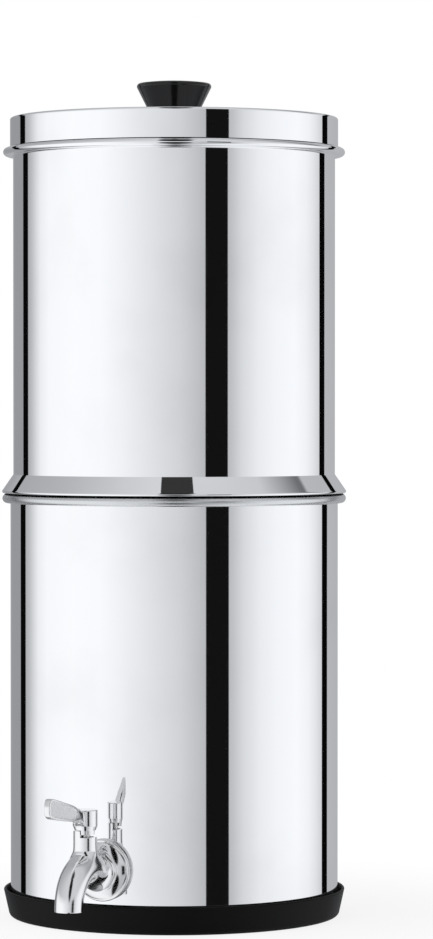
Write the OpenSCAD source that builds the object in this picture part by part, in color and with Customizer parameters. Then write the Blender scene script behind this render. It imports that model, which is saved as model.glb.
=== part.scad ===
// Gravity water filter with tap. Two spun-steel chambers stand one in the other on a rubber
// cup, under a slip-on lid with a moulded knob. Water poured into the upper chamber runs
// through two carbon elements into the lower one, and out of a quarter-turn lever tap.
// Millimetres, +Z up. The origin is on the vessel's axis at the underside of the cup, and
// the tap faces -Y.

/* [Sheet metal] */
// Thickness of the spun steel sheet
sheet_t = 0.8; // [0.6:0.1:1]
// Radius of both chambers' bottom corners, on the outside
corner_r = 8; // [5:0.5:12]
// Radial gap between the upper chamber and the mouth that it stands in
nest_gap = 1; // [0.6:0.1:2]
// Gap left under each piece that lifts off
seat_gap = 0.3; // [0.2:0.05:0.5]

/* [Rubber cup] */
// Thickness of the cup's floor
cup_floor_t = 3; // [2:0.5:5]
// Height of the cup's lip
cup_h = 17.3; // [15:0.1:24]
// How far the cup's foot stands out from the chamber's wall
cup_foot_reach = 1.2; // [0.4:0.1:3]
// Thickness of the lip
cup_lip_t = 1.7; // [1:0.1:2.5]
// Gap between the lip and the chamber's wall
cup_lip_gap = 2.5; // [1:0.1:4]
// Radius of the cup's bottom edge
cup_edge_r = 3.2; // [2:0.1:4]
// Fit of the cup round the lower chamber
cup_fit = 0.05; // [0.02:0.01:0.1]

/* [Lower chamber] */
// Outside diameter of the lower chamber's wall
lower_d = 203.4; // [195:0.2:220]
// Height of the lower chamber, from its underside to the top of its rolled rim
lower_h = 259.25; // [220:0.05:300]
// Diameter of the rolled rim's tube
roll_d = 5.8; // [4.5:0.1:7]
// Gap that the rolled edge leaves to the wall
curl_gap = 0.15; // [0.1:0.05:0.4]

/* [Upper chamber] */
// Depth of the upper chamber below the rim that it stands on
nest_depth = 16; // [13:0.5:24]
// Height of the upper chamber's mouth above that rim
upper_h = 228; // [200:0.5:260]
// How far the flare's lip stands out from the wall
flare_reach = 7; // [5.5:0.1:9]
// Height of the flare
flare_h = 11.6; // [9:0.1:16]
// Radius of the flare's lip
flare_lip_r = 1.1; // [1.1:0.1:2.5]
// Height of the lid rib's middle above the rim
rib_z = 211.4; // [185:0.1:222]
// How far the lid rib stands out from the wall
rib_reach = 6.6; // [4:0.1:8]
// Height of the lid rib
rib_h = 6; // [4:0.2:8]
// Radius of the creases where the sheet folds out of the wall
crease_r = 1; // [0.5:0.1:1.5]

/* [Lid] */
// Height of the lid's skirt and edge
lid_h = 17.7; // [14:0.1:26]
// Radius of the lid's top edge
lid_edge_r = 3; // [2:0.1:8]
// Rise of the lid's top from its edge to its middle
lid_crown = 2; // [0.5:0.1:6]
// Radial gap between the lid and the wall
lid_gap = 1.1; // [0.3:0.1:2]

/* [Knob] */
// Diameter of the knob at its widest
knob_d = 46.3; // [38:0.1:56]
// Diameter of the knob's foot
knob_foot_d = 30; // [24:0.5:36]
// Height of the knob
knob_h = 21.2; // [18:0.1:30]
// Height of the knob's dome above its edge
knob_dome = 1.4; // [0.6:0.1:3]
// Radius of the knob's edge
knob_edge_r = 2; // [1:0.1:3]
// Diameter of the knob's screw
knob_screw_d = 5; // [4:0.5:6]
// Length of the screw inside the knob
knob_screw_grip = 12; // [8:0.5:14]
// Diameter of the washer under the lid
knob_washer_d = 18; // [14:0.5:24]
// Thickness of the washer under the lid
knob_washer_t = 1.2; // [0.8:0.1:2]

/* [Carbon elements] */
// Distance of each element's axis from the vessel's
element_x = 45; // [38:0.5:60]
// Diameter of the carbon
element_d = 57; // [45:0.5:62]
// Length of the carbon
element_l = 190; // [140:1:200]
// Diameter of the hollow inside the carbon
element_core_d = 22; // [14:0.5:30]
// Radius of the carbon's top edge
element_edge_r = 7; // [3:0.5:12]
// Height of the moulded cap that the carbon is bonded into
cap_h = 12; // [9:0.5:18]
// Wall of the moulded cap
cap_wall = 2; // [1.5:0.1:3]
// Floor of the moulded cap
cap_floor = 4; // [3:0.5:6]
// Diameter of the cap's threaded stem
stem_d = 11.6; // [9:0.1:14]
// Length of the stem below the cap
stem_l = 30; // [24:0.5:36]
// Bore of the stem
stem_bore_d = 5; // [3:0.1:6]
// Thickness of the washer between the cap and the chamber's floor
element_washer_t = 3; // [2:0.1:4]
// Diameter of that washer
element_washer_d = 28; // [22:0.5:34]
// Height of the wing nut's hub
wing_nut_h = 11; // [8:0.5:14]
// Diameter of the wing nut's flange
wing_nut_d = 25; // [20:0.5:30]
// Span of the wing nut's two wings
wing_span = 38; // [32:0.5:46]

/* [Tap] */
// Height of the tap's axis above the lower chamber's underside
tap_h = 35.5; // [30:0.1:60]
// Diameter of the tap's threaded shank
shank_d = 15.6; // [12:0.1:18]
// Radial gap of the shank in the wall, the washers and the flange
shank_gap = 0.4; // [0.2:0.1:0.8]
// Length of the shank behind the lock nut
shank_tail = 4; // [2:0.5:8]
// Thickness of the tap's washers at their thinnest
washer_t = 1; // [0.8:0.1:2]
// Diameter of the tap's washers
washer_d = 29; // [26:0.5:32]
// Diameter of the tap's flange
flange_d = 37.4; // [34:0.1:44]
// Thickness of the flange's rim
flange_rim_t = 2.6; // [2:0.1:4]
// Width of the flange's rim, outside its cone
flange_rim_w = 1.6; // [1.2:0.1:4]
// Depth of the flange from its back to the tap's neck ring
flange_depth = 7.8; // [6:0.1:14]
// Diameter of the tap's neck ring
neck_d = 26; // [24:0.1:30]
// Thickness of the neck ring
neck_ring_t = 1.4; // [1:0.1:2.5]
// Length of the neck's flare from the ring to the tube
neck_flare_l = 5; // [3:0.1:7]
// Slope at which the neck's tube climbs from the ring to the bend
neck_slope = 18; // [10:1:22]
// Diameter of the tap's tube
tube_d = 18; // [17:0.1:20]
// Distance of the lever's axis from the vessel's wall
lever_reach = 24.8; // [24:0.1:28]
// Radius of the spout's bend, along its middle
bend_r = 21.7; // [20:0.1:23]
// Height of the bend's middle above the tap's axis, at the top of the bend
bend_rise = 3.8; // [2:0.1:5]
// Distance of the spout's middle from the vessel's wall
spout_reach = 46.4; // [45:0.1:50]
// Straight length of the spout below its bend
spout_tail = 1.9; // [1:0.1:6]
// Diameter of the spout's outlet
outlet_d = 17; // [15:0.1:18]
// Diameter of the spout's bore
spout_bore_d = 12.2; // [10:0.1:13]

/* [Tap valve] */
// Diameter of the bore that the plug turns in
plug_bore_d = 10; // [9:0.1:10.4]
// Running fit of the plug in its bore, on the radius
plug_fit = 0.05; // [0.02:0.01:0.1]
// Diameter of the water's way through the plug
port_d = 7; // [5:0.1:7.5]
// Depth of the plug's bore below the middle of the way through it
plug_depth = 6; // [5:0.1:7]
// Diameter of the bonnet that the plug stands in
bonnet_d = 13.7; // [13.2:0.1:16]
// Height of the bonnet's low rim above the tap's axis
bonnet_h = 23.1; // [23:0.1:30]
// Rise of the bonnet's stop, which takes up half its rim
stop_h = 3; // [2:0.1:4]
// Height of the bonnet's flared foot above the tap's axis
bonnet_foot_h = 14.6; // [13.6:0.1:17]
// Thickness of the circlip that holds the plug down
circlip_t = 1; // [0.8:0.1:1.4]
// Width across the flats of the plug's square end
square_w = 6; // [5:0.1:6.4]
// Fit of the square end in the lever's hub, on each side
square_fit = 0.05; // [0.02:0.01:0.1]
// Thickness of the plug's seal rings
ring_t = 1.6; // [1.2:0.1:2]

/* [Lever] */
// Diameter of the lever's hub
hub_d = 14.3; // [13.8:0.1:18]
// Height of the hub above the stop
hub_h = 11.5; // [11:0.1:18]
// Length of the taper at the hub's lower edge
hub_taper = 3; // [1:0.1:4]
// Play between the hub and the bonnet, on its rim and its stops
hub_gap = 0.3; // [0.2:0.05:0.5]
// Distance of the lever's tip from the hub's axis
lever_l = 51.6; // [45:0.1:70]
// Thickness of the lever's blade
blade_t = 5; // [4:0.1:6]
// Distance of the blade's root from the hub's axis
blade_root = 16; // [13:0.1:20]
// Height of the blade at its root
blade_root_h = 9.7; // [8:0.1:12]
// Height of the blade at its tip
blade_tip_h = 11.7; // [9:0.1:16]
// Height of the blade's top above the hub's top, at its root
blade_root_rise = 4.3; // [2:0.1:6]
// Height of the blade's top above the hub's top, at its tip
blade_tip_rise = 11.1; // [6:0.1:16]
// Width of the border round the panel on each side of the blade
panel_border = 1.3; // [0.8:0.1:2]
// Depth of that panel
panel_depth = 0.5; // [0.2:0.1:1]
// Diameter of the grub screw that holds the lever
grub_d = 4; // [3:0.5:4.5]

/* [Hidden] */
$fn = 96;
wall_fn = 480;     // sides of the wall that a thin washer is shaped to
arc_step = 11.25;  // degrees between the points of an arc
dome_steps = 6;    // parts of a shallow dome
over = 1;          // how far a cutter runs past what it cuts
thread_fit = 0.05; // gap between a nut or tapped hole and its screw

// Vessel
lower_r = lower_d / 2;
lower_in = lower_r - sheet_t;
lower_z = cup_floor_t;
roll_r = roll_d / 2;
rim_z = lower_z + lower_h;
seat_z = rim_z + seat_gap;
upper_r = lower_in - nest_gap;
upper_in = upper_r - sheet_t;
upper_z = seat_z - nest_depth;
upper_floor = upper_z + sheet_t;
mouth_z = seat_z + upper_h;
rib_mid = seat_z + rib_z;
skirt_z = rib_mid + rib_h / 2 + seat_gap;
lid_r = upper_r + lid_gap + sheet_t;
lid_edge_z = skirt_z + lid_h;
lid_top = lid_edge_z + lid_crown;

// Knob and its screw
knob_r = knob_d / 2;
knob_foot_r = knob_foot_d / 2;
knob_foot_edge = 1;  // radius of the edge round the knob's foot
knob_seat_r = knob_foot_r + 3;
lid_hole_r = knob_screw_d / 2 + 0.25;
washer_z = lid_top - sheet_t - knob_washer_t;
screw_head_r = knob_screw_d * 0.95;
screw_head_h = knob_screw_d * 0.6;
screw_slot_w = 1.2;
screw_tip_gap = 1;   // room in the knob past the screw's end

// Carbon elements
cap_z = upper_floor + element_washer_t;
carbon_z = cap_z + cap_floor;
cap_r = element_d / 2 + cap_wall;
cap_edge = 1;        // chamfer of the cap and its stem
core_r = element_core_d / 2;
core_cone = 4;       // depth of the cone that ends the hollow in the carbon
stem_r = stem_d / 2;
stem_hole_r = stem_r + 0.5;
wing_t = 3;
wing_h = wing_nut_h + 5;
wing_end_r = wing_t * 1.4;

// Tap, along its axis: each distance is measured from the vessel's axis
tap_z = lower_z + tap_h;
shank_r = shank_d / 2;
shank_hole_r = shank_r + shank_gap;
washer_r = washer_d / 2;
flange_back = lower_r + washer_t;
flange_front = flange_back + flange_depth;
neck_front = flange_front + neck_ring_t;
neck_edge = 0.6;     // step between the neck ring and the curves on each side of it
flange_step = 0.6;   // rise from the flange's rim to the foot of its cone
tube_r = tube_d / 2;
tube_start = neck_front + neck_flare_l;
nut_face = lower_in - sagitta(lower_in, washer_r) - washer_t;
nut_w = shank_d + 8;
nut_t = 8;
shank_end = nut_face - nut_t - shank_tail;
lever_y = lower_r + lever_reach;
spout_y = lower_r + spout_reach;
bend_y = spout_y - bend_r;
bend_z = tap_z + bend_rise - bend_r;
bend_top = bend_z + bend_r + tube_r;
outlet_z = bend_z - spout_tail;
neck_end_y = bend_y - bend_r * sin(neck_slope);
neck_end_z = bend_z + bend_r * cos(neck_slope);
neck_low_r = tube_r - 0.6;            // radius at which the neck's flare runs into the tube
neck_l = (neck_end_y - flange_front) / cos(neck_slope) - tube_r * tan(neck_slope);
spout_bore_start = 18; // degrees of the bend that hold only the narrow way out of the valve
outflow_l = bend_y - lever_y + bend_r * sin(spout_bore_start) + 2;

// Tap valve and lever
plug_bore_r = plug_bore_d / 2;
plug_r = plug_bore_r - plug_fit;
bonnet_r = bonnet_d / 2;
foot_r = tube_r - 0.4;                // radius of the bonnet's foot, just inside the tube's
foot_z = bend_top - 1.8;              // height at which that foot leaves the tube
port_z = neck_end_z + (lever_y - neck_end_y) * tan(neck_slope);
low_rim = tap_z + bonnet_h;
stop_top = low_rim + stop_h;
hub_r = hub_d / 2;
hub_low = low_rim + hub_gap;
hub_z = stop_top + hub_gap;
hub_top = hub_z + hub_h;
circlip_z = low_rim - 2.6;
circlip_r = plug_bore_r + 0.65;
circlip_gap = 40;                     // degrees that the circlip leaves open
groove_play = 0.05;                   // room for the circlip in its groove, all round
plug_top = circlip_z - 0.3;
plug_z = port_z - plug_depth + 0.2;
spindle_r = square_w / 2;
hole_w = square_w + 2 * square_fit;
square_top = hub_z + hub_h * 0.65;
grub_z = hub_z + hub_h * 0.4;
grub_sink = 0.4;                      // depth of the grub screw's face in the hub
hub_foot_r = hub_r - 1.05;            // radius of the hub at its lower edge
hub_edge = 0.5;                       // chamfer of the hub's top edge
hub_turn = 0.4;                       // height over which the hub's taper ends
skirt_edge = 0.2;                     // taper of the stop skirt
skirt_in = spindle_r + 0.6;           // inside radius of the stop skirt
root_top = hub_top + blade_root_rise;
tip_top = hub_top + blade_tip_rise;
arm_ease = 1.2;                       // radius that the arm's corners are eased to
root_ramp = 2.4;                      // rise of the ramp that ends at the blade's root
web_l = 2.5;                          // length of the web under the arm, from the hub
web_drop = 0.9;                       // drop of the arm's underside from the blade to the web
web_h = 4;                            // depth of the web below the blade, at the hub
panel_round = 2.4;                    // radius of the panel's corners
panel_lead = 3;                       // how far the panel's border starts before the blade
panel_tail = 1.5;                     // how much shorter than the blade it is
// The tip's outline: distance back from the tip, and depth as a share of the blade's height
tip_curve = [[2.4, 0], [0.4, 0.35], [0, 0.55], [1.2, 0.8], [3.6, 1]];
ring_r = ring_t / 2;
ring_mid = plug_r + 0.02 - ring_r;
groove_side = 0.2;                    // room above and below a seal ring
ring_z = [port_z + port_d / 2 + 3, port_z + port_d / 2 + 6];

steel = "#c9ccd1";
black = "#1b1b1c";
pale = "#dfe1e4";

// ---- outlines ----

// How far a circle of radius R falls away across a half chord r
function sagitta(R, r) = R - sqrt(R * R - r * r);

function polar(c, r, a) = c + r * [cos(a), sin(a)];

// An arc about c from angle a to angle b
function arc(c, r, a, b, least = 2) = let (n = max(least, ceil(abs(b - a) / arc_step)))
    [for (i = [0:n]) polar(c, r, a + (b - a) * i / n)];

// A shallow dome that rises h to height z, from the radius w in to a flat middle of radius r
function dome(w, h, z, r = 0) = let (run = w - r, big = (run * run + h * h) / (2 * h))
    arc([r, z - big], big, acos(run / big), 90, dome_steps);

// A concave quarter of an ellipse, from radius r0 at height z0 to radius r1 at height z1
function flare(r0, z0, r1, z1) = [for (a = [0:15:90])
    [r0 + (r1 - r0) * sin(a), z1 - (z1 - z0) * cos(a)]];

// The angle at which the line from p touches the circle about c, on its left or right side
function touch(p, c, r, side) = let (
        d = p - c,
        turn = atan2(d.y, d.x) + side * acos(r / norm(d))
    ) atan2(sin(turn), cos(turn));

function unit(v) = v / norm(v);

function left_of(v) = [-v.y, v.x];

// The way from a point of a path to the same point of a path one unit to its left
function miter(path, i) = let (
        last = len(path) - 1,
        to_next = unit(path[min(i, last - 1) + 1] - path[min(i, last - 1)]),
        from_last = unit(path[max(i, 1)] - path[max(i, 1) - 1]),
        m = left_of(from_last) + left_of(to_next)
    ) 2 * m / (m * m);

// A path without the points that repeat
function distinct(path) = [for (i = [0:len(path) - 1])
    if (i == 0 || norm(path[i] - path[max(i, 1) - 1]) > 0.001) path[i]];

// The outline of a sheet whose outer face runs along a path, with its thickness to the left
function sheet(path) = let (p = distinct(path), last = len(p) - 1)
    concat(p, [for (i = [last:-1:0]) p[i] + sheet_t * miter(p, i)]);

// ---- shared shapes ----

module spun(outline) rotate_extrude() polygon(outline);

// Turns what stands on Z so that Z runs out of the vessel along the tap's axis
module along_tap() translate([0, 0, tap_z]) rotate([90, 0, 0]) children();

// Lays a drawing in the plane of the spout, with X forwards and Y up
module beside_tap() rotate([90, 0, -90]) children();

// Turns what stands on Z so that Z runs up the neck to the start of the bend, where it is 0
module along_neck()
    translate([0, -neck_end_y, neck_end_z]) rotate([90 - neck_slope, 0, 0]) children();

module at_lever() translate([0, -lever_y, 0]) children();

module between(z0, z1, r) translate([0, 0, z0]) cylinder(r = r, h = z1 - z0);

module upright_square(w, z0, z1) translate([-w / 2, -w / 2, z0]) cube([w, w, z1 - z0]);

// A circular way along the spout's bend, from an angle past its top to its lower end
module bend(r, from)
    translate([0, -bend_y, bend_z])
        beside_tap()
            rotate_extrude(angle = 90 - from)
                translate([bend_r, 0])
                    circle(r = r);

// ---- vessel ----

module base_cup() color(black) {
    foot_out = lower_r + cup_foot_reach;
    lip_r = cup_lip_t / 2;
    lip_mid = lower_r + cup_lip_gap + lip_r;
    lean = atan2(lip_mid + lip_r - foot_out, cup_h);
    fit_r = corner_r + cup_fit;
    spun(concat(
        [[0, 0]],
        arc([foot_out - cup_edge_r, cup_edge_r], cup_edge_r, -90, -lean),
        arc([lip_mid, cup_h - lip_r], lip_r, -lean, 180),
        arc([lower_r - corner_r, lower_z + corner_r], fit_r, 0, -asin(corner_r / fit_r)),
        [[0, lower_z]]
    ));
}

module lower_chamber() color(steel) {
    curl_end = -acos((sheet_t + curl_gap - roll_r) / roll_r);
    difference() {
        spun(sheet(concat(
            [[0, lower_z]],
            arc([lower_r - corner_r, lower_z + corner_r], corner_r, -90, 0),
            arc([lower_in + roll_r, rim_z - roll_r], roll_r - sheet_t, 180, curl_end)
        )));
        along_tap() between(shank_end, lower_r + over, shank_hole_r);
    }
}

module upper_chamber() color(steel) {
    lip_r = upper_r + flare_reach;
    lip_c = [lip_r - flare_lip_r, seat_z + flare_lip_r];
    shoulder = [upper_r, seat_z + flare_h];
    rib_r = rib_h / 2;
    rib_c = [upper_r + rib_reach - rib_r, rib_mid];
    difference() {
        spun(sheet(concat(
            [[0, upper_z]],
            arc([upper_r - corner_r, upper_z + corner_r], corner_r, -90, 0),
            arc([upper_r + crease_r, seat_z - crease_r], crease_r, 180, 90),
            arc(lip_c, flare_lip_r, -90, touch(shoulder, lip_c, flare_lip_r, -1)),
            [shoulder],
            arc([upper_r + crease_r, rib_mid - rib_r - crease_r], crease_r, 180, 90),
            arc(rib_c, rib_r, -90, 90),
            arc([upper_r + crease_r, rib_mid + rib_r + crease_r], crease_r, -90, -180),
            [[upper_r, mouth_z]]
        )));
        for (side = [-1, 1])
            translate([side * element_x, 0, 0])
                between(upper_z - over, upper_floor + over, stem_hole_r);
    }
}

// ---- lid and knob ----

module lid() color(steel)
    spun(sheet(concat(
        [[lid_r, skirt_z]],
        arc([lid_r - lid_edge_r, lid_edge_z - lid_edge_r], lid_edge_r, 0, 90),
        dome(lid_r - lid_edge_r, lid_crown, lid_top, knob_seat_r),
        [[lid_hole_r, lid_top]]
    )));

module lid_knob() color(black) {
    hole_r = knob_screw_d / 2 + thread_fit;
    hole_top = lid_top + knob_screw_grip + screw_tip_gap;
    foot_c = [knob_foot_r - knob_foot_edge, lid_top + knob_foot_edge];
    edge_c = [knob_r - knob_edge_r, lid_top + knob_h - knob_dome - knob_edge_r];
    spun(concat(
        [[hole_r, lid_top]],
        arc(foot_c, knob_foot_edge, -90, 0),
        arc(edge_c, knob_edge_r, touch([knob_foot_r, foot_c.y], edge_c, knob_edge_r, 1), 90),
        dome(edge_c.x, knob_dome, lid_top + knob_h),
        [[0, hole_top], [hole_r, hole_top]]
    ));
}

module knob_washer() color(steel)
    spun([
        [lid_hole_r, washer_z], [knob_washer_d / 2, washer_z],
        [knob_washer_d / 2, washer_z + knob_washer_t], [lid_hole_r, washer_z + knob_washer_t]
    ]);

module knob_screw() color(steel)
    difference() {
        union() {
            between(washer_z - screw_head_h / 2, washer_z, screw_head_r);
            translate([0, 0, washer_z - screw_head_h])
                cylinder(r1 = screw_head_r * 0.7, r2 = screw_head_r, h = screw_head_h / 2);
            between(washer_z, lid_top + knob_screw_grip, knob_screw_d / 2);
        }
        for (turn = [0, 90])
            rotate(turn)
                translate([0, 0, washer_z - screw_head_h])
                    cube([screw_head_r, screw_slot_w, screw_head_h], center = true);
    }

// ---- carbon elements ----

module element_carbon(side) color(black)
    translate([side * element_x, 0, 0]) {
        top = carbon_z + element_l;
        core_top = top - core_r;
        spun(concat(
            [[core_r, carbon_z], [element_d / 2, carbon_z]],
            arc([element_d / 2 - element_edge_r, top - element_edge_r], element_edge_r, 0, 90),
            [[0, top], [0, core_top], [core_r, core_top - core_cone]]
        ));
    }

module element_cap(side) color(pale)
    translate([side * element_x, 0, 0]) {
        cap_in = element_d / 2 + thread_fit;
        stem_z = cap_z - stem_l;
        spun([
            [stem_bore_d / 2, stem_z], [stem_r - cap_edge, stem_z],
            [stem_r, stem_z + cap_edge], [stem_r, cap_z], [cap_r - cap_edge, cap_z],
            [cap_r, cap_z + cap_edge], [cap_r, cap_z + cap_h], [cap_in, cap_z + cap_h],
            [cap_in, carbon_z], [stem_bore_d / 2, carbon_z]
        ]);
    }

module element_washer(side) color(black)
    translate([side * element_x, 0, 0])
        difference() {
            between(upper_floor, cap_z, element_washer_d / 2);
            between(upper_floor - over, cap_z + over, stem_r + thread_fit);
        }

module wing_nut(side) color(pale)
    translate([side * element_x, 0, upper_z])
        mirror([0, 0, 1])
            difference() {
                union() {
                    cylinder(d = wing_nut_d, h = wing_t);
                    cylinder(d1 = wing_nut_d * 0.8, d2 = wing_nut_d * 0.7, h = wing_nut_h);
                    for (turn = [0, 180])
                        rotate(turn) wing();
                }
                between(-over, wing_nut_h + over, stem_r + thread_fit);
            }

// One wing, which leans out from the hub and has a round end
module wing() {
    end_c = [wing_span / 2 - wing_end_r, wing_h - wing_end_r];
    low = [wing_nut_d / 2 - cap_edge, cap_edge];
    high = [stem_r + wing_t / 2, wing_nut_h - cap_edge];
    rotate([90, 0, 0])
        linear_extrude(wing_t, center = true)
            polygon(concat(
                [[high.x, low.y], low],
                arc(end_c, wing_end_r, touch(low, end_c, wing_end_r, 1),
                    touch(high, end_c, wing_end_r, -1)),
                [high]
            ));
}

// ---- tap ----

module tap_body() color(steel)
    difference() {
        union() {
            along_tap() {
                between(shank_end, flange_front + neck_ring_t / 2, shank_r);
                between(flange_front, neck_front, neck_d / 2);
                spun(concat(
                    [[0, neck_front - over], [neck_d / 2 - neck_edge, neck_front - over]],
                    flare(neck_d / 2 - neck_edge, neck_front, neck_low_r, tube_start),
                    [[0, tube_start]]
                ));
            }
            along_neck() between(-neck_l, 0, tube_r);
            bend(tube_r, -neck_slope);
            translate([0, -spout_y, outlet_z])
                cylinder(r1 = outlet_d / 2, r2 = tube_r, h = spout_tail);
            at_lever() {
                between(port_z, stop_top, bonnet_r);
                spun(concat(
                    [[0, port_z], [foot_r, port_z]],
                    flare(foot_r, foot_z, bonnet_r, tap_z + bonnet_foot_h),
                    [[0, tap_z + bonnet_foot_h]]
                ));
            }
        }
        along_tap() between(shank_end - over, neck_front + 3 * over, port_d / 2);
        along_neck() between(-neck_l, (lever_y - neck_end_y) / cos(neck_slope), port_d / 2);
        at_lever()
            translate([0, 0, port_z])
                rotate([90, 0, 0])
                    cylinder(d = port_d, h = outflow_l);
        bend(spout_bore_d / 2, spout_bore_start);
        translate([0, -spout_y, 0]) between(outlet_z - over, bend_z, spout_bore_d / 2);
        at_lever() {
            between(port_z - plug_depth, stop_top + over, plug_bore_r);
            between(circlip_z - groove_play, circlip_z + circlip_t + groove_play, circlip_r + groove_play);
            // the low half of the rim, on the side that the lever turns to
            translate([0, -hub_r, low_rim]) cube([hub_r, 2 * hub_r, stop_h + over]);
        }
    }

// The flange is a cone with a rounded rim, whose back is hollowed to clear the wall
module tap_flange() color(steel) {
    rim_r = flange_d / 2;
    cone_r = rim_r - flange_rim_w;
    rim_front = flange_back + flange_rim_t;
    round_r = flange_rim_t * 0.45;
    along_tap()
        spun(concat(
            [[shank_hole_r, flange_back], [rim_r, flange_back]],
            arc([rim_r - round_r, rim_front - round_r], round_r, 0, 90),
            [[cone_r, rim_front], [cone_r - flange_step, rim_front + flange_step]],
            [[neck_d / 2 - neck_edge, flange_front], [shank_hole_r, flange_front]]
        ));
}

// A washer that is flat towards the flange and takes the wall's curve on its back
module tap_outer_washer() color(black)
    difference() {
        along_tap() between(lower_r - sagitta(lower_r, washer_r) - over, flange_back, washer_r);
        along_tap() between(shank_end, flange_back + over, shank_hole_r);
        between(0, rim_z, lower_r, $fn = wall_fn);
    }

module tap_inner_washer() color(black)
    intersection() {
        along_tap()
            difference() {
                between(nut_face, lower_in + over, washer_r - 1);
                between(nut_face - over, lower_in + 2 * over, shank_hole_r);
            }
        between(0, rim_z, lower_in, $fn = wall_fn);
    }

module tap_lock_nut() color(steel)
    along_tap()
        difference() {
            intersection() {
                translate([0, 0, nut_face - nut_t]) cylinder(d = nut_w / cos(30), h = nut_t, $fn = 6);
                translate([0, 0, nut_face - nut_t])
                    cylinder(r1 = nut_w / 2, r2 = nut_w / 2 + 2 * nut_t, h = nut_t);
            }
            between(nut_face - nut_t - over, nut_face + over, shank_r + thread_fit);
        }

// ---- tap valve ----

module tap_plug() color(pale)
    at_lever()
        difference() {
            union() {
                between(plug_z, plug_top, plug_r);
                between(plug_top - over, hub_z, spindle_r);
                upright_square(square_w, hub_low, square_top);
            }
            // the way through, across the tube while the tap is shut
            translate([-plug_bore_r, 0, port_z])
                rotate([0, 90, 0])
                    cylinder(d = port_d, h = plug_bore_d);
            for (z = ring_z)
                translate([0, 0, z])
                    difference() {
                        between(-ring_r - groove_side, ring_r + groove_side, plug_r + over);
                        between(-ring_t, ring_t, ring_mid - ring_r);
                    }
        }

module tap_plug_seals() color(black)
    at_lever()
        for (z = ring_z)
            translate([0, 0, z])
                rotate_extrude()
                    translate([ring_mid, 0])
                        circle(r = ring_r);

module tap_circlip() color(steel)
    at_lever()
        translate([0, 0, circlip_z])
            rotate(circlip_gap / 2)
                rotate_extrude(angle = 360 - circlip_gap)
                    translate([spindle_r * 1.4, 0])
                        square([circlip_r - spindle_r * 1.4, circlip_t]);

// ---- lever ----

// The side of the lever's arm: X is the distance from the hub's axis and Y is the height
module arm_side() {
    root_low = root_top - blade_root_h;
    offset(r = arm_ease) offset(r = -arm_ease)
        polygon(concat(
            [[0, hub_top], [hub_r * 0.8, hub_top]],
            [[blade_root * 0.72, root_top - root_ramp], [blade_root, root_top]],
            [for (p = tip_curve) [lever_l - p.x, tip_top - blade_tip_h * p.y]],
            [[blade_root, root_low], [hub_r + web_l, root_low - web_drop]],
            [[hub_r - hub_edge, root_low - web_h], [0, root_low - web_h]]
        ));
}

// The hollowed panel, which keeps its border from the arm's edges and ends short of the tip
module panel_side()
    offset(r = panel_round) offset(r = -panel_round - panel_border)
        intersection() {
            arm_side();
            translate([blade_root - panel_lead, 0])
                square([lever_l - blade_root - panel_tail, 2 * hub_top]);
        }

module tap_lever() color(steel)
    at_lever()
        difference() {
            union() {
                spun([
                    [0, hub_z], [hub_foot_r, hub_z], [hub_r, hub_z + hub_taper - hub_turn],
                    [hub_r, hub_top - hub_edge], [hub_r - hub_edge, hub_top], [0, hub_top]
                ]);
                stop_skirt();
                beside_tap() linear_extrude(blade_t, center = true) arm_side();
            }
            for (flank = [-1, 1])
                beside_tap()
                    translate([0, 0, flank * blade_t / 2])
                        linear_extrude(2 * panel_depth, center = true)
                            panel_side();
            upright_square(hole_w, hub_low - over, square_top + hub_gap);
            translate([-hub_r - over, 0, grub_z])
                rotate([0, 90, 0])
                    cylinder(r = grub_d / 2 + thread_fit, h = hub_r + over);
        }

// The quarter of the hub's lower edge that meets the bonnet's stop at both ends of its turn
module stop_skirt()
    intersection() {
        spun([
            [skirt_in, hub_low], [hub_foot_r - skirt_edge, hub_low],
            [hub_foot_r, hub_z + skirt_edge], [skirt_in, hub_z + skirt_edge]
        ]);
        translate([hub_gap, -hub_r - hub_gap, hub_low]) cube([hub_r, hub_r, stop_h + over]);
    }

module tap_lever_screw() color(steel)
    at_lever()
        translate([-hub_r + grub_sink, 0, grub_z])
            rotate([0, 90, 0])
                difference() {
                    cylinder(d = grub_d, h = hub_r - spindle_r - grub_sink);
                    translate([0, 0, -over]) cylinder(d = grub_d / 2, h = grub_d / 2 + over, $fn = 6);
                }

base_cup();
lower_chamber();
upper_chamber();
lid();
lid_knob();
knob_washer();
knob_screw();
element_carbon(-1);  // element_carbon_left
element_carbon(1);  // element_carbon_right
element_cap(-1);  // element_cap_left
element_cap(1);  // element_cap_right
element_washer(-1);  // element_washer_left
element_washer(1);  // element_washer_right
wing_nut(-1);  // element_wing_nut_left
wing_nut(1);  // element_wing_nut_right
tap_body();
tap_flange();
tap_outer_washer();
tap_inner_washer();
tap_lock_nut();
tap_plug();
tap_plug_seals();
tap_circlip();
tap_lever();
tap_lever_screw();
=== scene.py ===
"""Gravity water filter with tap, dressed for a studio picture.

Two spun-steel chambers stand one in the other on a rubber cup, under a slip-on lid with a
moulded knob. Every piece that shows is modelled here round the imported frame, in metres, and
rides on the frame's own bodies.
"""

import logging
import math
from dataclasses import dataclass
from enum import Enum
from typing import ClassVar

import bmesh
import bpy
from bmesh.types import BMEdge, BMesh, BMFace, BMVert
from bpy.types import Material, Node, NodeSocket, NodeTree, Object
from mathutils import Matrix, Vector


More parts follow.
